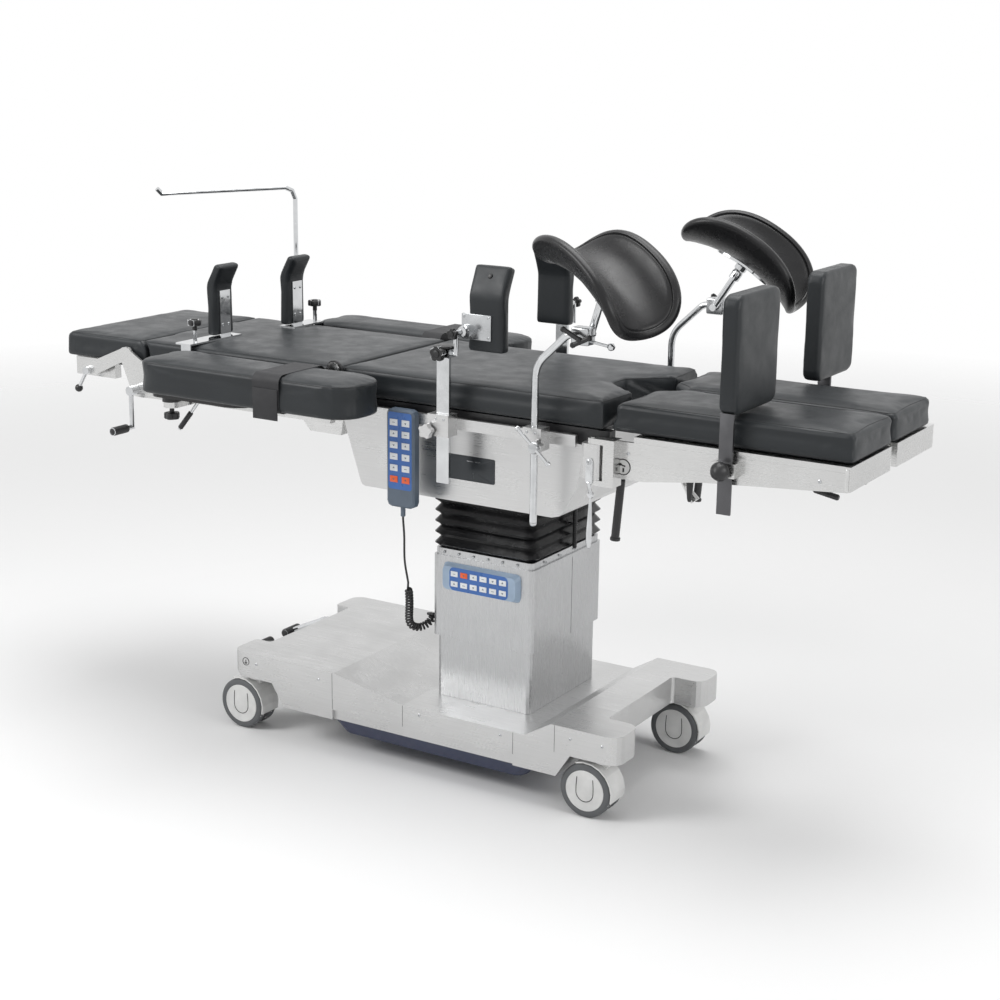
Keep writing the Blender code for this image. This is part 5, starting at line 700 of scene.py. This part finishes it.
def clamp_trim(side):
    """The smooth bent post with its clamp, tee handles and thin lever."""
    clamp, body = SADDLES[side][0], f"leg_post_{side}"
    x = clamp.x - 0.1165
    elbow = (x + 0.078, -POST_Y, clamp.z)
    line = [(x, -POST_Y, POST_LOW), (x, -POST_Y, 1.005), elbow, (elbow[0] + 0.026, -POST_Y, clamp.z)]
    rod = tube(bent(line, 0.03, 10), POST_RADIUS, 28)
    foot = lathe([(0, -7.9), (4.5, -6.6), (7.2, -3.6), (8, 0), (8, 2), (0, 2)], (x, -POST_Y, POST_LOW),
                 UPWARD, 28)
    jaw = lathe([(0, -15.5), (15, -15.5), (17.2, -13.5), (17.2, 13.5), (15, 15.5), (0, 15.5)], clamp,
                (0, 1, 0), 36)
    tip = Vector((clamp.x + 0.062, -POST_Y, clamp.z - 0.017))
    arm = tube([(clamp.x, -POST_Y, clamp.z - 0.0085), tip], 0.0034, 16)
    end = lathe([(0, -8.5), (4.8, -7), (8.2, -2.2), (8.2, 2.2), (4.8, 7), (0, 8.5)], tip, tip - clamp)
    post = sided("leg_rod", side, joined(rod, foot, jaw, arm, end), CHROME, body, angle=35, slot="chrome")
    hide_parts(body)
    block = box_of(around(clamp.x - 0.004, 0.021), around(clamp.y, CLAMP_WIDTH / 2 + 0.0012),
                   around(clamp.z, 0.0186), 0.004, 3)
    sided("leg_clamp", side, block, SATIN, body)
    bars = []
    for dx, dz, y in ((-0.012, 0.026, clamp.y - 0.02), (0.01, -0.026, clamp.y - 0.018)):
        place = Vector((clamp.x + dx, y, clamp.z + dz * 0.25))
        ends = [place + Vector((s * 0.019, -0.016, -s * dz * 0.35)) for s in (-1, 1)]
        bars.append(tube([place + Vector((0, 0.006, 0)), place + Vector((0, -0.014, 0))], 0.0042, 16))
        bars.append(tube(ends, 0.0052, 16))
        bars += [lathe([(0, -6.2), (4.6, -4.6), (6.6, 0), (4.6, 4.6), (0, 6.2)], end, (1, 0, 0), 18)
                 for end in ends]
    sided("leg_tee", side, joined(*bars), BLACK, body)


def small_cushion(stem, node, side, bm, body):
    cushion(f"{node}_{side}", f"{stem}_{side}_cushion", body, 0.004, 0.0016, 0.001,
            shape=on_side(bm, SIDES[side]))


SIDE_PADS = {"near": (0.121, 0.197), "far": (0.108, 0.122)}  # the post's x, the pad's middle


def side_pad(side):
    body = f"side_pad_{side}"
    post_x, middle = SIDE_PADS[side]
    back, low = -0.223, 1.007
    outline = mm((0, 0), (0, 122), (4, 134), (30, 190), (56, 180), (32, 124), (30, 112), (30, 0))
    slab = loft([[(x, back + u, low + v) for u, v in outline] for x in around(middle, 0.046)])
    small_cushion("side", "side_pad", side, rounded(slab, 0.006, 3), body)
    tip = Vector((post_x + 0.03, -0.24, 1.052))
    plate_x = (min(tip.x - 0.013, middle - 0.016), max(tip.x + 0.013, middle + 0.016))
    plate = box_of(plate_x, (back - 0.004, back + 0.001), around(tip.z + 0.01, 0.028), 0.0012)
    screws = screws_at([(x, back - 0.004, z) for x in (plate_x[0] + 0.006, plate_x[1] - 0.006)
                        for z in (tip.z - 0.012, tip.z + 0.032)], radius=3)
    cup = lathe([(0, -3), (14.5, -3), (15, 2), (13.5, 12), (9.5, 16.5), (0, 16.5)],
                (tip.x, back - 0.004, tip.z), OUTWARD, 32)
    sided("side_plate", side, joined(plate, cup, screws), SATIN, body, angle=35, slot="steel")
    button = lathe([(0, 1.2), (3.5, 1.2), (5.2, 0.6), (6, -0.8), (6, -3), (0, -3)],
                   (middle, back + 0.0165, low + 0.166), (0, -0.9, 0.42))
    sided("side_button", side, button, BLACK, body)


def shoulder_pad(side, x, pad_y):
    body = f"shoulder_{side}"
    low = TOP_Z + SEAT_GAP + 0.004 + SEAT_GAP
    outline = mm((-34, 0), (-8, 0), (-8, 116), (-5, 130), (18, 174), (-5, 181), (-30, 136), (-34, 124))
    slab = loft([[(x + u, y, low + v) for u, v in outline] for y in around(-pad_y, 0.038)])
    small_cushion("shoulder", "shoulder_pad", side, rounded(slab, 0.006, 3), body)
    knob_y = max(-0.2166, -pad_y - 0.12)
    over = TOP_Z + SEAT_GAP + 0.045
    knob_at(f"shoulder_knob_{side}", (x, knob_y, over - 0.0004), (0, 0, 1), body, SIDES[side], slot="black")
    screws = screws_at([(x - 0.0036, -pad_y + dy, low + dz) for dy in (-0.011, 0.011)
                        for dz in (0.028, 0.095)], (1, 0, 0), 3.4)
    sided("shoulder_screws", side, screws, SATIN, body)


FOOT_BOARDS = {"near": (-0.256, -0.16), "far": (0.256, 0.27)}  # the bar's y, the board's middle
FOOT_X, FOOT_Z = 0.79, 1.0675


def foot_board(side):
    bar_y, middle = FOOT_BOARDS[side]
    body = f"foot_board_{side}"
    rings = []
    for dx, inset in mm((-20, 6), (-18.5, 2.5), (-15, 0), (0, 0), (15, 0), (18.5, 2.5), (20, 6)):
        plan = rounded_plan(0.105 - inset, 0.1225 - inset, 0.024 - inset / 2)
        rings.append([(FOOT_X + dx, middle + u, FOOT_Z + v) for u, v in plan])
    cushion(body, f"foot_{side}_cushion", body, cap=0.0012, drawn=0.0008, shape=loft(rings))
    bar = box_of(around(FOOT_X, 0.0152), around(bar_y, 0.0034), (0.742, 0.951), 0.001)
    cheek = box_of(around(FOOT_X, 0.0205), around(bar_y, 0.0036), (0.822, 0.852), 0.001)
    made_piece(f"foot_bar_{side}", joined(bar, cheek), DARK_STEEL, body, angle=30)


for side in SIDES:
    saddle_rest(side)
    clamp_trim(side)
    side_pad(side)
    foot_board(side)
shoulder_pad("near", -0.643, 0.083)
shoulder_pad("far", -0.6, 0.15)

# Bellows, cord, keypads, column and housing trim.

BELLOWS_LOW, BELLOWS_HIGH, PLEATS, LOWER_PLEATS, PLEAT_RINGS = 0.5274, 0.6566, 5, 2, 10
COLUMN_X = 0.155


def plan_ring(half_x, half_y, radius, z):
    return [(COLUMN_X + u, v, z) for u, v in rounded_plan(half_x, half_y, radius, 8)]


def make_bellows():
    """Five pleats with sharp folds, made as a lower piece of two pleats and an upper piece of the others."""
    rings, tall, last = [], BELLOWS_HIGH - BELLOWS_LOW, PLEATS * PLEAT_RINGS
    for k in range(last + 1):
        wave = 1 - abs(2 * (k / PLEAT_RINGS % 1) - 1)
        inset = 0.0135 * (1 - wave) - 0.0004
        z = BELLOWS_LOW + tall * k / last - (0.0022 * wave if 0 < k < last else 0)
        rings.append(plan_ring(0.139 - inset, 0.165 - inset, 0.03 - inset * 0.8, max(z, BELLOWS_LOW)))
    middle, split = BELLOWS_LOW + tall * LOWER_PLEATS / PLEATS, LOWER_PLEATS * PLEAT_RINGS
    for name, part, ends, bodies in (
        ("lower", rings[: split + 1], (BELLOWS_LOW, middle), ("lift", "cradle")),
        ("upper", rings[split:], (middle, BELLOWS_HIGH), ("cradle", "table")),
    ):
        inner = [plan_ring(0.1135, 0.1395, 0.016, z) for z in reversed(ends)]
        skin = made_piece(f"bellows_{name}", hollow([*part, *inner]), GLOSS_BLACK, None, angle=60,
                          slot="bellows")
        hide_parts("bellows")
        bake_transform(skin)


def spans(points):
    return [(b - a).length for a, b in zip(points, points[1:])]


def smooth(route, step):
    points = [Vector(p) for p in route]
    ends = [2 * points[0] - points[1], *points, 2 * points[-1] - points[-2]]
    fine = []
    for a, b, c, d in zip(ends, ends[1:], ends[2:], ends[3:]):
        for k in range(40):
            t = k / 40
            cubic = (3 * b - a - 3 * c + d) * t**3
            fine.append((2 * b + (c - a) * t + (2 * a - 5 * b + 4 * c - d) * t**2 + cubic) / 2)
    fine.append(points[-1])
    lengths = np.cumsum([0, *spans(fine)])
    wanted = np.linspace(0, lengths[-1], max(2, round(lengths[-1] / step)) + 1)
    return [Vector(p) for p in zip(*[np.interp(wanted, lengths, values) for values in zip(*fine)])]


CORD_RADIUS, CURL_PITCH, CURL_POINTS, WINDING = 0.0025, 0.0082, 14, 0.0075
CORD_START, CORD_MEET = Vector((0.0075, -0.2623, 0.6207)), Vector((-0.018, -0.205, 0.445))
PLAIN_ROUTE = [CORD_START, CORD_START - Vector((0, 0, 0.007)), (0.002, -0.25, 0.57), (-0.012, -0.228, 0.505),
               CORD_MEET]
CURLY_ROUTE = [(-0.0237, -0.1917, 0.3955), (-0.0356, -0.1732, 0.3373), (-0.0269, -0.151, 0.3195),
               (-0.0134, -0.1297, 0.326)]
SOCKET, LEAD = Vector((0.0062, -0.118, 0.345)), Vector((0.01, 0, 0))


def wound(core):
    """The coil's points about its core, eased in and out where it meets the plain cord."""
    length = sum(spans(core))
    runs = [(b - a).normalized() for a, b in zip(core, core[1:])]
    side, travelled, frames = runs[0].orthogonal().normalized(), 0.0, []
    for i, run in enumerate(runs):
        if i:
            side = runs[i - 1].rotation_difference(run) @ side
        frames.append((travelled, core[i], run, side.copy()))
        travelled += (core[i + 1] - core[i]).length
    skip = 0.005 + LEAD.length
    steps, at, winding = round((length - 2 * skip) / CURL_PITCH) * CURL_POINTS, 0, []
    for k in range(steps + 1):
        wanted = skip + (length - 2 * skip) * k / steps
        while at < len(frames) - 1 and frames[at + 1][0] <= wanted:
            at += 1
        place, base, run, across = frames[at]
        across = (across - run * across.dot(run)).normalized()
        ease = min(1, k / 10, (steps - k) / 10)
        angle = tau * k / CURL_POINTS
        spin = across * cos(angle) + run.cross(across) * sin(angle)
        winding.append(base + run * (wanted - place) + spin * WINDING * (0.25 + 0.75 * ease))
    return winding


def make_cord():
    """One cord: plain down from the handset, wound about its route, and plain into the socket."""
    core = smooth([CORD_MEET, *map(Vector, CURLY_ROUTE), SOCKET - LEAD, SOCKET], 0.0004)
    points = [*smooth(PLAIN_ROUTE, 0.006), *wound(core), SOCKET - LEAD * 0.6, SOCKET]
    curve = poly_curve("handset_cord", CORD_RADIUS, 4, RUBBER)
    curve.use_fill_caps = True
    add_line(curve, points)
    cord = placed("handset_cord", curve)
    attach(cord, "lift")
    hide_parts("cord_straight", "cord_curly")
    relief = lathe([(0, 0.5), (5.5, 0), (5.2, 4), (4.6, 4.5), (4.6, 7), (5.1, 7.5), (4, 13), (3.1, 18),
                    (0, 18)], (-0.0045, -0.118, 0.345), (-1, 0, 0))
    made_piece("cord_relief", relief, BLACK, "lift")


KEY_MARKS = (  # a bar, an arrow down and an arrow up
    mm((-3.6, -0.6), (3.6, -0.6), (3.6, 0.6), (-3.6, 0.6)),
    mm((0, -3), (2.8, 1.2), (-2.8, 1.2)),
    mm((0, 3), (-2.8, -1.2), (2.8, -1.2)),
)


def keypad(name, body, columns, rows, front, size, film_half, hot, film_corner):
    """A printed film with raised keys in rows; hot names the (column, row) of the orange ones."""
    white, red, marks = [], [], []
    for i, x in enumerate(columns):
        for j, z in enumerate(rows):
            (red if (i, j) in hot else white).append(
                box_of(around(x, size[0] / 2 + 0.0004), (front - 0.0006, front + 0.0006),
                       around(z, size[1] / 2 + 0.0004), 0.0006))
            marks.append(facing(KEY_MARKS[(i + 2 * j) % 3], x, z,
                                ((1, front - 0.00075), (1, front - 0.0003))))
    made_piece(f"{name}_keys", joined(*white), KEY_WHITE, body, angle=50, slot="white")
    made_piece(f"{name}_red_keys", joined(*red), KEY_RED, body, angle=50, slot="blue")
    film = facing(rounded_plan(*film_half, film_corner), sum(columns) / len(columns), sum(rows) / len(rows),
                  ((1, front + 0.0008), (1, front + 0.0026)))
    made_piece(f"{name}_film", film, BLUE, body, angle=30, slot="blue")
    made_piece(f"{name}_marks", joined(*marks), SLATE, body, angle=None, slot="black")


def column_trim():
    """A row of rivets under the bellows, and thin dark strips of painted shade in the seams of the two end
    sheets.
    """
    ends = ((0.2886, 1), (0.0074, -1))
    spots = [((x, way * 0.1588), (0, way, 0)) for x in np.linspace(0.05, 0.246, 6) for way in (NEAR, FAR)]
    spots += [((x, y), (way, 0, 0)) for y in np.linspace(-0.1, 0.1, 4) for x, way in ends]
    rivets = [screw_head((*spot, 0.5185), axis, 3, 1.8) for spot, axis in spots]
    made_piece("column_rivets", joined(*rivets), SATIN, "lift", angle=35)
    # The seams are thin near-black boxes: painted shade where the sheets meet.
    seams = [box_of(x, around(0.02, 0.0006), (0.3155, 0.502)) for x in ((0.2893, 0.28965), (0.00635, 0.0067))]
    made_piece("column_seam", joined(*seams), SHADE_AND_INK, "lift", angle=None)


def housing_plate():
    """The plate on the housing, framed by a thin rolled lip, with one plain line; its dark colour is a
    painted reflection of the polished metal.
    """
    steps = ((1, -0.1998), (1, -0.2011), (0.99, -0.2016), (0.94, -0.2016), (0.93, -0.2012), (0.2, -0.2012))
    plate = facing(rounded_plan(0.07, 0.0285, 0.004), 0.141, 0.7375, steps)
    made_piece("housing_plate", plate, PAINTED_REFLECTION_PLATE, "table", angle=35, slot="black")
    line = box_of(around(0.156, 0.018), (-0.2014, -0.201), around(0.7545, 0.0006))
    made_piece("plate_line", line, SATIN, "table", angle=None)


make_bellows()
make_cord()
keypad("panel", "lift", [COLUMN_X + 0.026 * (k - 2.5) for k in range(6)], [0.4765, 0.4525], -0.1765,
       (0.018, 0.012), (0.0785, 0.0275), {(1, 0)}, 0.012)
keypad("handset", "table", [0.0075 + 0.032 * (k - 0.5) for k in range(2)],
       [0.838 - 0.026 * k for k in range(6)], -0.2755, (0.02, 0.014), (0.0315, 0.088),
       {(0, 5), (1, 5)}, 0.006)
column_trim()
housing_plate()

# Casters, hand knobs, grips, base trim, straps and small fasteners.

STEM_X = {"head": -0.453, "foot": 0.519}
CASTER_Y, CASTER_TRAIL, TWIN_Y, AXLE_Z = 0.22, 0.035, 0.021, 0.0625
CASTERS = {(side, end): (x, way * CASTER_Y) for side, way in SIDES.items() for end, x in STEM_X.items()}
TREAD = [(47.8, 10.3), (54, 10.6), (60, 9.8), (62.3, 7)]


def caster_trim(side, end):
    stem_x, stem_y = CASTERS[side, end]
    axle_x, body = stem_x - CASTER_TRAIL, f"wheel_{side}_{end}"
    profile = [(r, -v) for r, v in TREAD] + [(62.6, 0)] + TREAD[::-1] + [(TREAD[0][0], -TREAD[0][1])]
    face = [(0, 8), (47.7, 8), (47.7, 9.8), (46.5, 10.7), (44, 10.4), (30, 9.8), (15, 10.2), (11, 11.2),
            (6, 11.4), (0, 11.4)]
    arch = [(-0.02, 0.03), (-0.0215, 0.01)]
    arch += [(0.0215 * cos(a), -0.004 + 0.0215 * sin(a)) for a in np.linspace(pi, tau, 15)]
    arch += [(0.0215, 0.01), (0.02, 0.03)]
    tyres, discs, lines = [], [], []
    for way in (NEAR, FAR):
        middle = stem_y + way * TWIN_Y
        tyres.append(lathe(profile, (axle_x, middle, AXLE_Z), (0, 1, 0), 64))
        discs.append(lathe(face, (axle_x, middle, AXLE_Z), (0, way, 0), 48))
        # A thin near-black arch on each disc: painted shade of a groove in the disc.
        lines.append(tube([(axle_x + u, middle + way * 0.01, AXLE_Z + v) for u, v in arch], 0.0009, 8))
    made_piece(f"tyres_{side}_{end}", joined(*tyres), TYRE, body, angle=50, slot="black")
    made_piece(f"discs_{side}_{end}", joined(*discs), WHITE, body, angle=30, slot="white")
    made_piece(f"disc_lines_{side}_{end}", joined(*lines), SHADE_AND_INK, body, slot="black")
    cap = lathe([(0, 0.5), (6, 0.3), (8.5, -1), (9, -3), (0, -3)], (stem_x, stem_y, 0.1392), UPWARD)
    made_piece(f"caster_cap_{side}_{end}", cap, SATIN, f"caster_{side}_{end}", slot="chrome")


def ribbed(place, axis, length, radius, ribs, depth=0.5):
    """A moulded grip with rings round it; its sizes are in millimetres."""
    profile = [(0, 0), (radius * 0.7, 0)]
    for k in range(ribs * 4 + 1):
        wave = 0.5 - 0.5 * cos(tau * k / 4)
        profile.append((radius - depth * (1 - wave), 2 + (length - 4) * k / (ribs * 4)))
    profile += [(radius * 0.7, length), (0, length)]
    return lathe(profile, place, axis, 28)


LOCKS = {"near": (0.352, 0.056), "far": (0.402, 0.026)}  # the leg clamp's x, its lever's reach
LOCK_Y = -0.309


def seat_fittings(side):
    way, post, post_x = SIDES[side], f"side_post_{side}", SIDE_PADS[side][0]
    knob_at(f"side_head_knob_{side}", (post_x, -0.2868, 1.0085), OUTWARD, post, way, 0.0178, 0.015)
    flat = lathe([(0, 0), (14, 0), (21.5, 1.2), (23.2, 3.5), (22.2, 6.2), (15, 7.8), (0, 8.2)],
                 (post_x, -POST_Y, 1.0168), UPWARD, 40)
    sided("side_cap", side, flat, BLACK, post)
    knob_at(f"side_ball_knob_{side}", (post_x + 0.03, -0.276, 1.052), OUTWARD, post, way, 0.013, 0.012)
    x, reach = LOCKS[side]
    ends = [Vector((x - 0.018, LOCK_Y, 0.872)), Vector((x + reach, LOCK_Y, 0.854 - 0.857 * reach))]
    lever = [tube(bent(ends, 0.012), 0.0038, 20)]
    for tip, other in (ends, ends[::-1]):
        lever.append(lathe([(0, -4), (5.32, -3), (5.89, 1), (4.56, 4.5), (0, 5.5)], tip, tip - other, 20))
    sided("leg_lock", side, joined(*lever), CHROME, "table")
    boss = lathe([(0, -2), (13, -2), (13.5, 2), (11, 7), (6.2, 8.5), (0, 9)], (x + 0.02, -0.3048, 0.835),
                 OUTWARD, 28)
    sided("leg_lock_boss", side, boss, SATIN, "table")
    for name, px in (("side", post_x), ("leg", x)):
        screws = screws_at([(px + dx, -0.2862, 0.862) for dx in (-0.01, 0.01)], radius=3)
        sided(f"{name}_clamp_screws", side, screws, SATIN, "table", angle=35)


SIGN_X, SIGN_Y, SIGN_Z = 0.552, -0.2434, 0.806
RELEASE_Y = -0.08


def leg_fittings(side):
    body = f"leg_{side}"
    loop = tube(arc(SIGN_X, SIGN_Z, 0.0165, np.linspace(0, tau, 41), SIGN_Y), 0.0011, 8)
    figure = [tube([(0.5455, SIGN_Y, 0.8135), (0.55, SIGN_Y, 0.8095), (0.5575, SIGN_Y, 0.808)], 0.0015, 8),
              tube([(0.553, SIGN_Y, 0.804), (0.553, SIGN_Y, 0.7955)], 0.0022, 10),
              lathe([(0, 0.8), (2.4, 0.4), (2.6, -0.4), (0, -0.4)], (0.5455, SIGN_Y, 0.8105), OUTWARD, 14)]
    disc = lathe([(0, 0.6), (16.4, 0.6), (17.2, -0.2), (0, -0.2)], (SIGN_X, -0.243, SIGN_Z), OUTWARD, 48)
    sided("leg_sign_ground", side, disc, WHITE, body, angle=30)
    sided("leg_sign", side, joined(loop, *figure), SHADE_AND_INK, body)
    screws = screws_at([(x, -0.2431, 0.836) for x in (0.563, 0.77, 0.987)], radius=4.2)
    sided("leg_screws", side, screws, SATIN, body, angle=35)
    taper = lathe([(0, -4), (7, -4), (7.8, 0), (7.4, 6), (5.2, 36), (3.4, 42), (0, 43.5)],
                  (0.7, -0.228, 0.792), (0, 0, -1))
    sided("leg_taper", side, taper, BLACK, body)
    line = bent([(0.829, RELEASE_Y, 0.8625), (0.829, RELEASE_Y, 0.79), (0.914, RELEASE_Y, 0.7745)], 0.01)
    sided("leg_release", side, tube(line, 0.004, 16), CHROME, body)
    sleeve = ribbed((0.912, RELEASE_Y, 0.7749), (1, 0, -0.1825), 56, 6.6, 9)
    sided("leg_lever_sleeve", side, sleeve, BLACK, body)
    corner = box_of((1.0385, 1.0478), (-0.245, -0.23), (0.8235, 0.868), 0.0025)
    sided("leg_corner", side, corner, STEEL_LIGHT, body)


HINGE_X, GRIP_Y, GRIP_LEAN = 0.4895, -0.2, (-0.085, 0, -1)


def hinge_fittings(side):
    """The chrome hook that hangs on the knuckle's pin, and the black swing grip under the leg."""
    leg = f"leg_{side}"
    link = facing(rounded_plan(0.0085, 0.0285, 0.0082), HINGE_X, 0.795,
                  ((0.94, -0.2749), (1, -0.2753), (1, -0.2767), (0.94, -0.2771)))
    hook = tube(bent([(HINGE_X, -0.2765, 0.7715), (HINGE_X, -0.2745, 0.76), (0.489, -0.266, 0.744)], 0.004),
                0.0042, 16)
    eye = lathe([(0, -4.5), (6.2, -4), (7.8, 0), (6.2, 4), (0, 4.5)], (0.489, -0.266, 0.742), (0, 1, 0))
    pull = lathe([(0, 0), (3, 1), (3.6, 20), (5.2, 50), (6.6, 80), (6.2, 100), (4, 112), (0, 114)],
                 (0.4885, -0.2655, 0.737), (-0.035, 0.03, -1))
    sided("hinge_hook", side, joined(link, hook, eye, pull), CHROME, "table")
    bolt = screw_head((HINGE_X, -0.2771, 0.815), OUTWARD, 5.8, 2.6)
    sided("hinge_bolt", side, bolt, SATIN, "table", angle=35)
    tang = tube([(0.527, GRIP_Y, 0.792), (0.5262, GRIP_Y, 0.762)], 0.0045, 14)
    sided("swing_tang", side, tang, SATIN, leg)
    handle = ribbed((0.5265, GRIP_Y, 0.768), GRIP_LEAN, 134, 9.2, 34, 0.6)
    collar = lathe([(0, 0), (10.5, 0), (11.2, 2), (10.8, 6), (0, 6.5)], (0.5158, GRIP_Y, 0.6375),
                   GRIP_LEAN, 28)
    sided("swing_grip", side, joined(handle, collar), BLACK, leg)


def foot_fittings(side):
    """The three-cornered knob that clamps a foot board's bar, drawn as a blunt point."""
    point = lathe([(0, -10), (7, -10), (7.5, -2), (15, 0), (19.5, 4), (20, 10), (16.5, 18), (9.5, 25),
                   (3, 28.5), (0, 29)], (FOOT_X, -0.2745, 0.837), OUTWARD, 40)
    sided("foot_clamp_knob", side, point, BLACK, f"leg_{side}")


ARM_Y, ARM_Z, STRAP_X = -0.336, 0.8976, (-0.2895, -0.2155)


def arm_fittings(side):
    """The star knob and the grip under an arm board's bracket, and the strap round the board."""
    body = f"arm_{side}"
    knob_at(f"arm_knob_{side}", (-0.605, ARM_Y, 0.799), (0, 0, -1), "back", SIDES[side], 0.019, 0.0158)
    rod = tube([(-0.571, -0.28, 0.818), (-0.616, -0.3, 0.75)], 0.0042, 16)
    sided("arm_lever", side, rod, CHROME, "back")
    sleeve = ribbed((-0.5877, -0.2874, 0.7927), (-0.045, -0.02, -0.068), 50, 6.6, 9)
    sided("arm_lever_sleeve", side, sleeve, BLACK, "back")
    outer, inner = rounded_plan(0.0862, 0.0447, 0.02, 8), rounded_plan(0.0846, 0.0431, 0.0184, 8)
    ends = ((0, outer), (1, outer), (1, inner), (0, inner))
    bm = hollow([[(STRAP_X[k], ARM_Y + u, ARM_Z + v) for u, v in plan] for k, plan in ends])
    sided("arm_strap", side, bm, WEBBING, body, angle=50, slot="pads")
    tail = box_of((-0.287, -0.218), (ARM_Y - 0.089, ARM_Y - 0.0864), (0.84, 0.91), 0.001)
    sided("arm_strap_tail", side, tail, WEBBING, body, angle=50)


def head_fittings():
    """The black grip on the crank and the black ball on the head lever."""
    grip = ribbed((-0.8, -0.2835, 0.726), OUTWARD, 52.2, 10.7, 10)
    made_piece("head_crank_grip", grip, BLACK, "head_crank")
    ball = lathe([(9.9 * sin(a), -9.9 * cos(a)) for a in np.linspace(0, pi, 17)], (-0.995, -0.2438, 0.798),
                 (-0.03, 0, -0.048), 28)
    made_piece("head_lever_ball", ball, BLACK, "head_lever")


EARTH_X, BASE_FACE, EARTH_Z = -0.462, -0.2602, 0.18
BASE_FOLD_SHADE = ((0.003, 0.112, 0.164), (-0.2, 0.112, 0.202), (0.303, 0.112, 0.164), (0.41, 0.142, 0.204))
BASE_SCREWS = ((-0.43, 0.178), (-0.24, 0.178), (0.05, 0.15), (0.27, 0.15), (0.45, 0.18), (0.53, 0.18))


def base_trim():
    for side in SIDES:
        # Thin near-black strips along the bends of the base cover: painted shade in its folds.
        folds = [box_of(around(x, 0.0004), (-0.2603, -0.2596), (low, high)) for x, low, high in BASE_FOLD_SHADE]
        sided("base_folds", side, joined(*folds), SHADE_AND_INK, "base", angle=None)
        loop = arc(EARTH_X, EARTH_Z, 0.0095, np.linspace(0, tau, 33), BASE_FACE)
        strokes = [tube([(EARTH_X + w * way, BASE_FACE, 0.1775 - d) for way in (NEAR, FAR)], 0.0006, 8)
                   for w, d in ((0.0045, 0), (0.003, 0.0017), (0.0014, 0.0034))]
        upright = tube([(EARTH_X, BASE_FACE, 0.1845), (EARTH_X, BASE_FACE, 0.1775)], 0.0009, 8)
        sided("earth_sign", side, joined(tube(loop, 0.0008, 8), upright, *strokes), SHADE_AND_INK, "base")
        screws = screws_at([(x, -0.2598, z) for x, z in BASE_SCREWS], radius=3.6)
        sided("base_screws", side, screws, SATIN, "base", angle=35)
    for name, (x, y, z) in (("brake", (-0.627, 0.13, 0.118)), ("steer", (-0.535, -0.1, 0.165))):
        grip = ribbed((x, y - 0.031, z), (0, 1, 0), 62, 12.2, 12, 0.7)
        made_piece(f"{name}_tread", grip, RUBBER, f"{name}_pedal")


CONDUIT_FOOT = (0.301, 0.008, 0.5285)


def conduit():
    piece = made_piece("conduit", ribbed(CONDUIT_FOOT, UPWARD, 118, 5.6, 24, 1.2), RUBBER, "lift")
    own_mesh(piece)


for side, end in CASTERS:
    caster_trim(side, end)
for side in SIDES:
    seat_fittings(side)
    leg_fittings(side)
    hinge_fittings(side)
    foot_fittings(side)
    arm_fittings(side)
head_fittings()
base_trim()
conduit()
knob_at("screen_clamp_knob", (-0.7, -0.2908, 0.835), OUTWARD, "back", FAR)
blow_up()

# Seams: a thin welt follows each cushion's own skin at a given height.

WELT_Z, HEM_Z, ARM_WELT_Z = 0.9335, 0.8795, 0.929


def loops_at(obj, height):
    """The closed lines along which the cushion's skin crosses a height, eased twice."""
    bm = bmesh.new()
    bm.from_mesh(obj.data)
    cut = bmesh.ops.bisect_plane(bm, geom=[*bm.verts, *bm.edges, *bm.faces], plane_co=(0, 0, height),
                                 plane_no=UPWARD)
    near = {}
    for edge in cut["geom_cut"]:
        if isinstance(edge, bmesh.types.BMEdge):
            a, b = edge.verts
            near.setdefault(a, []).append(b)
            near.setdefault(b, []).append(a)
    seen, loops = set(), []
    for start in sorted(near, key=lambda v: tuple(v.co)):
        loop, at = [], start
        while at and at not in seen:
            seen.add(at)
            loop.append(at.co.copy())
            at = next((v for v in near[at] if v not in seen), None)
        if len(loop) < 20:
            continue
        for _ in range(2):
            loop = [(loop[k - 1] + loop[k] * 2 + loop[(k + 1) % len(loop)]) / 4 for k in range(len(loop))]
        loops.append(loop)
    bm.free()
    return loops


def welt(obj, height, body, kind, radius=0.0009):
    name = obj.name.replace("cushion", kind)
    curve = poly_curve(name, radius, 2, THREAD)
    for loop in loops_at(obj, height):
        add_line(curve, loop, True)
    seam = placed(name, curve)
    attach(seam, body)


for obj, _, body, *_ in QUEUE:
    if obj.name.startswith(("head", "back", "seat", "leg")):
        welt(obj, WELT_Z, body, "welt")
        welt(obj, HEM_Z, body, "hem", 0.0007)
    elif obj.name.startswith("arm"):
        welt(obj, ARM_WELT_Z, body, "welt")
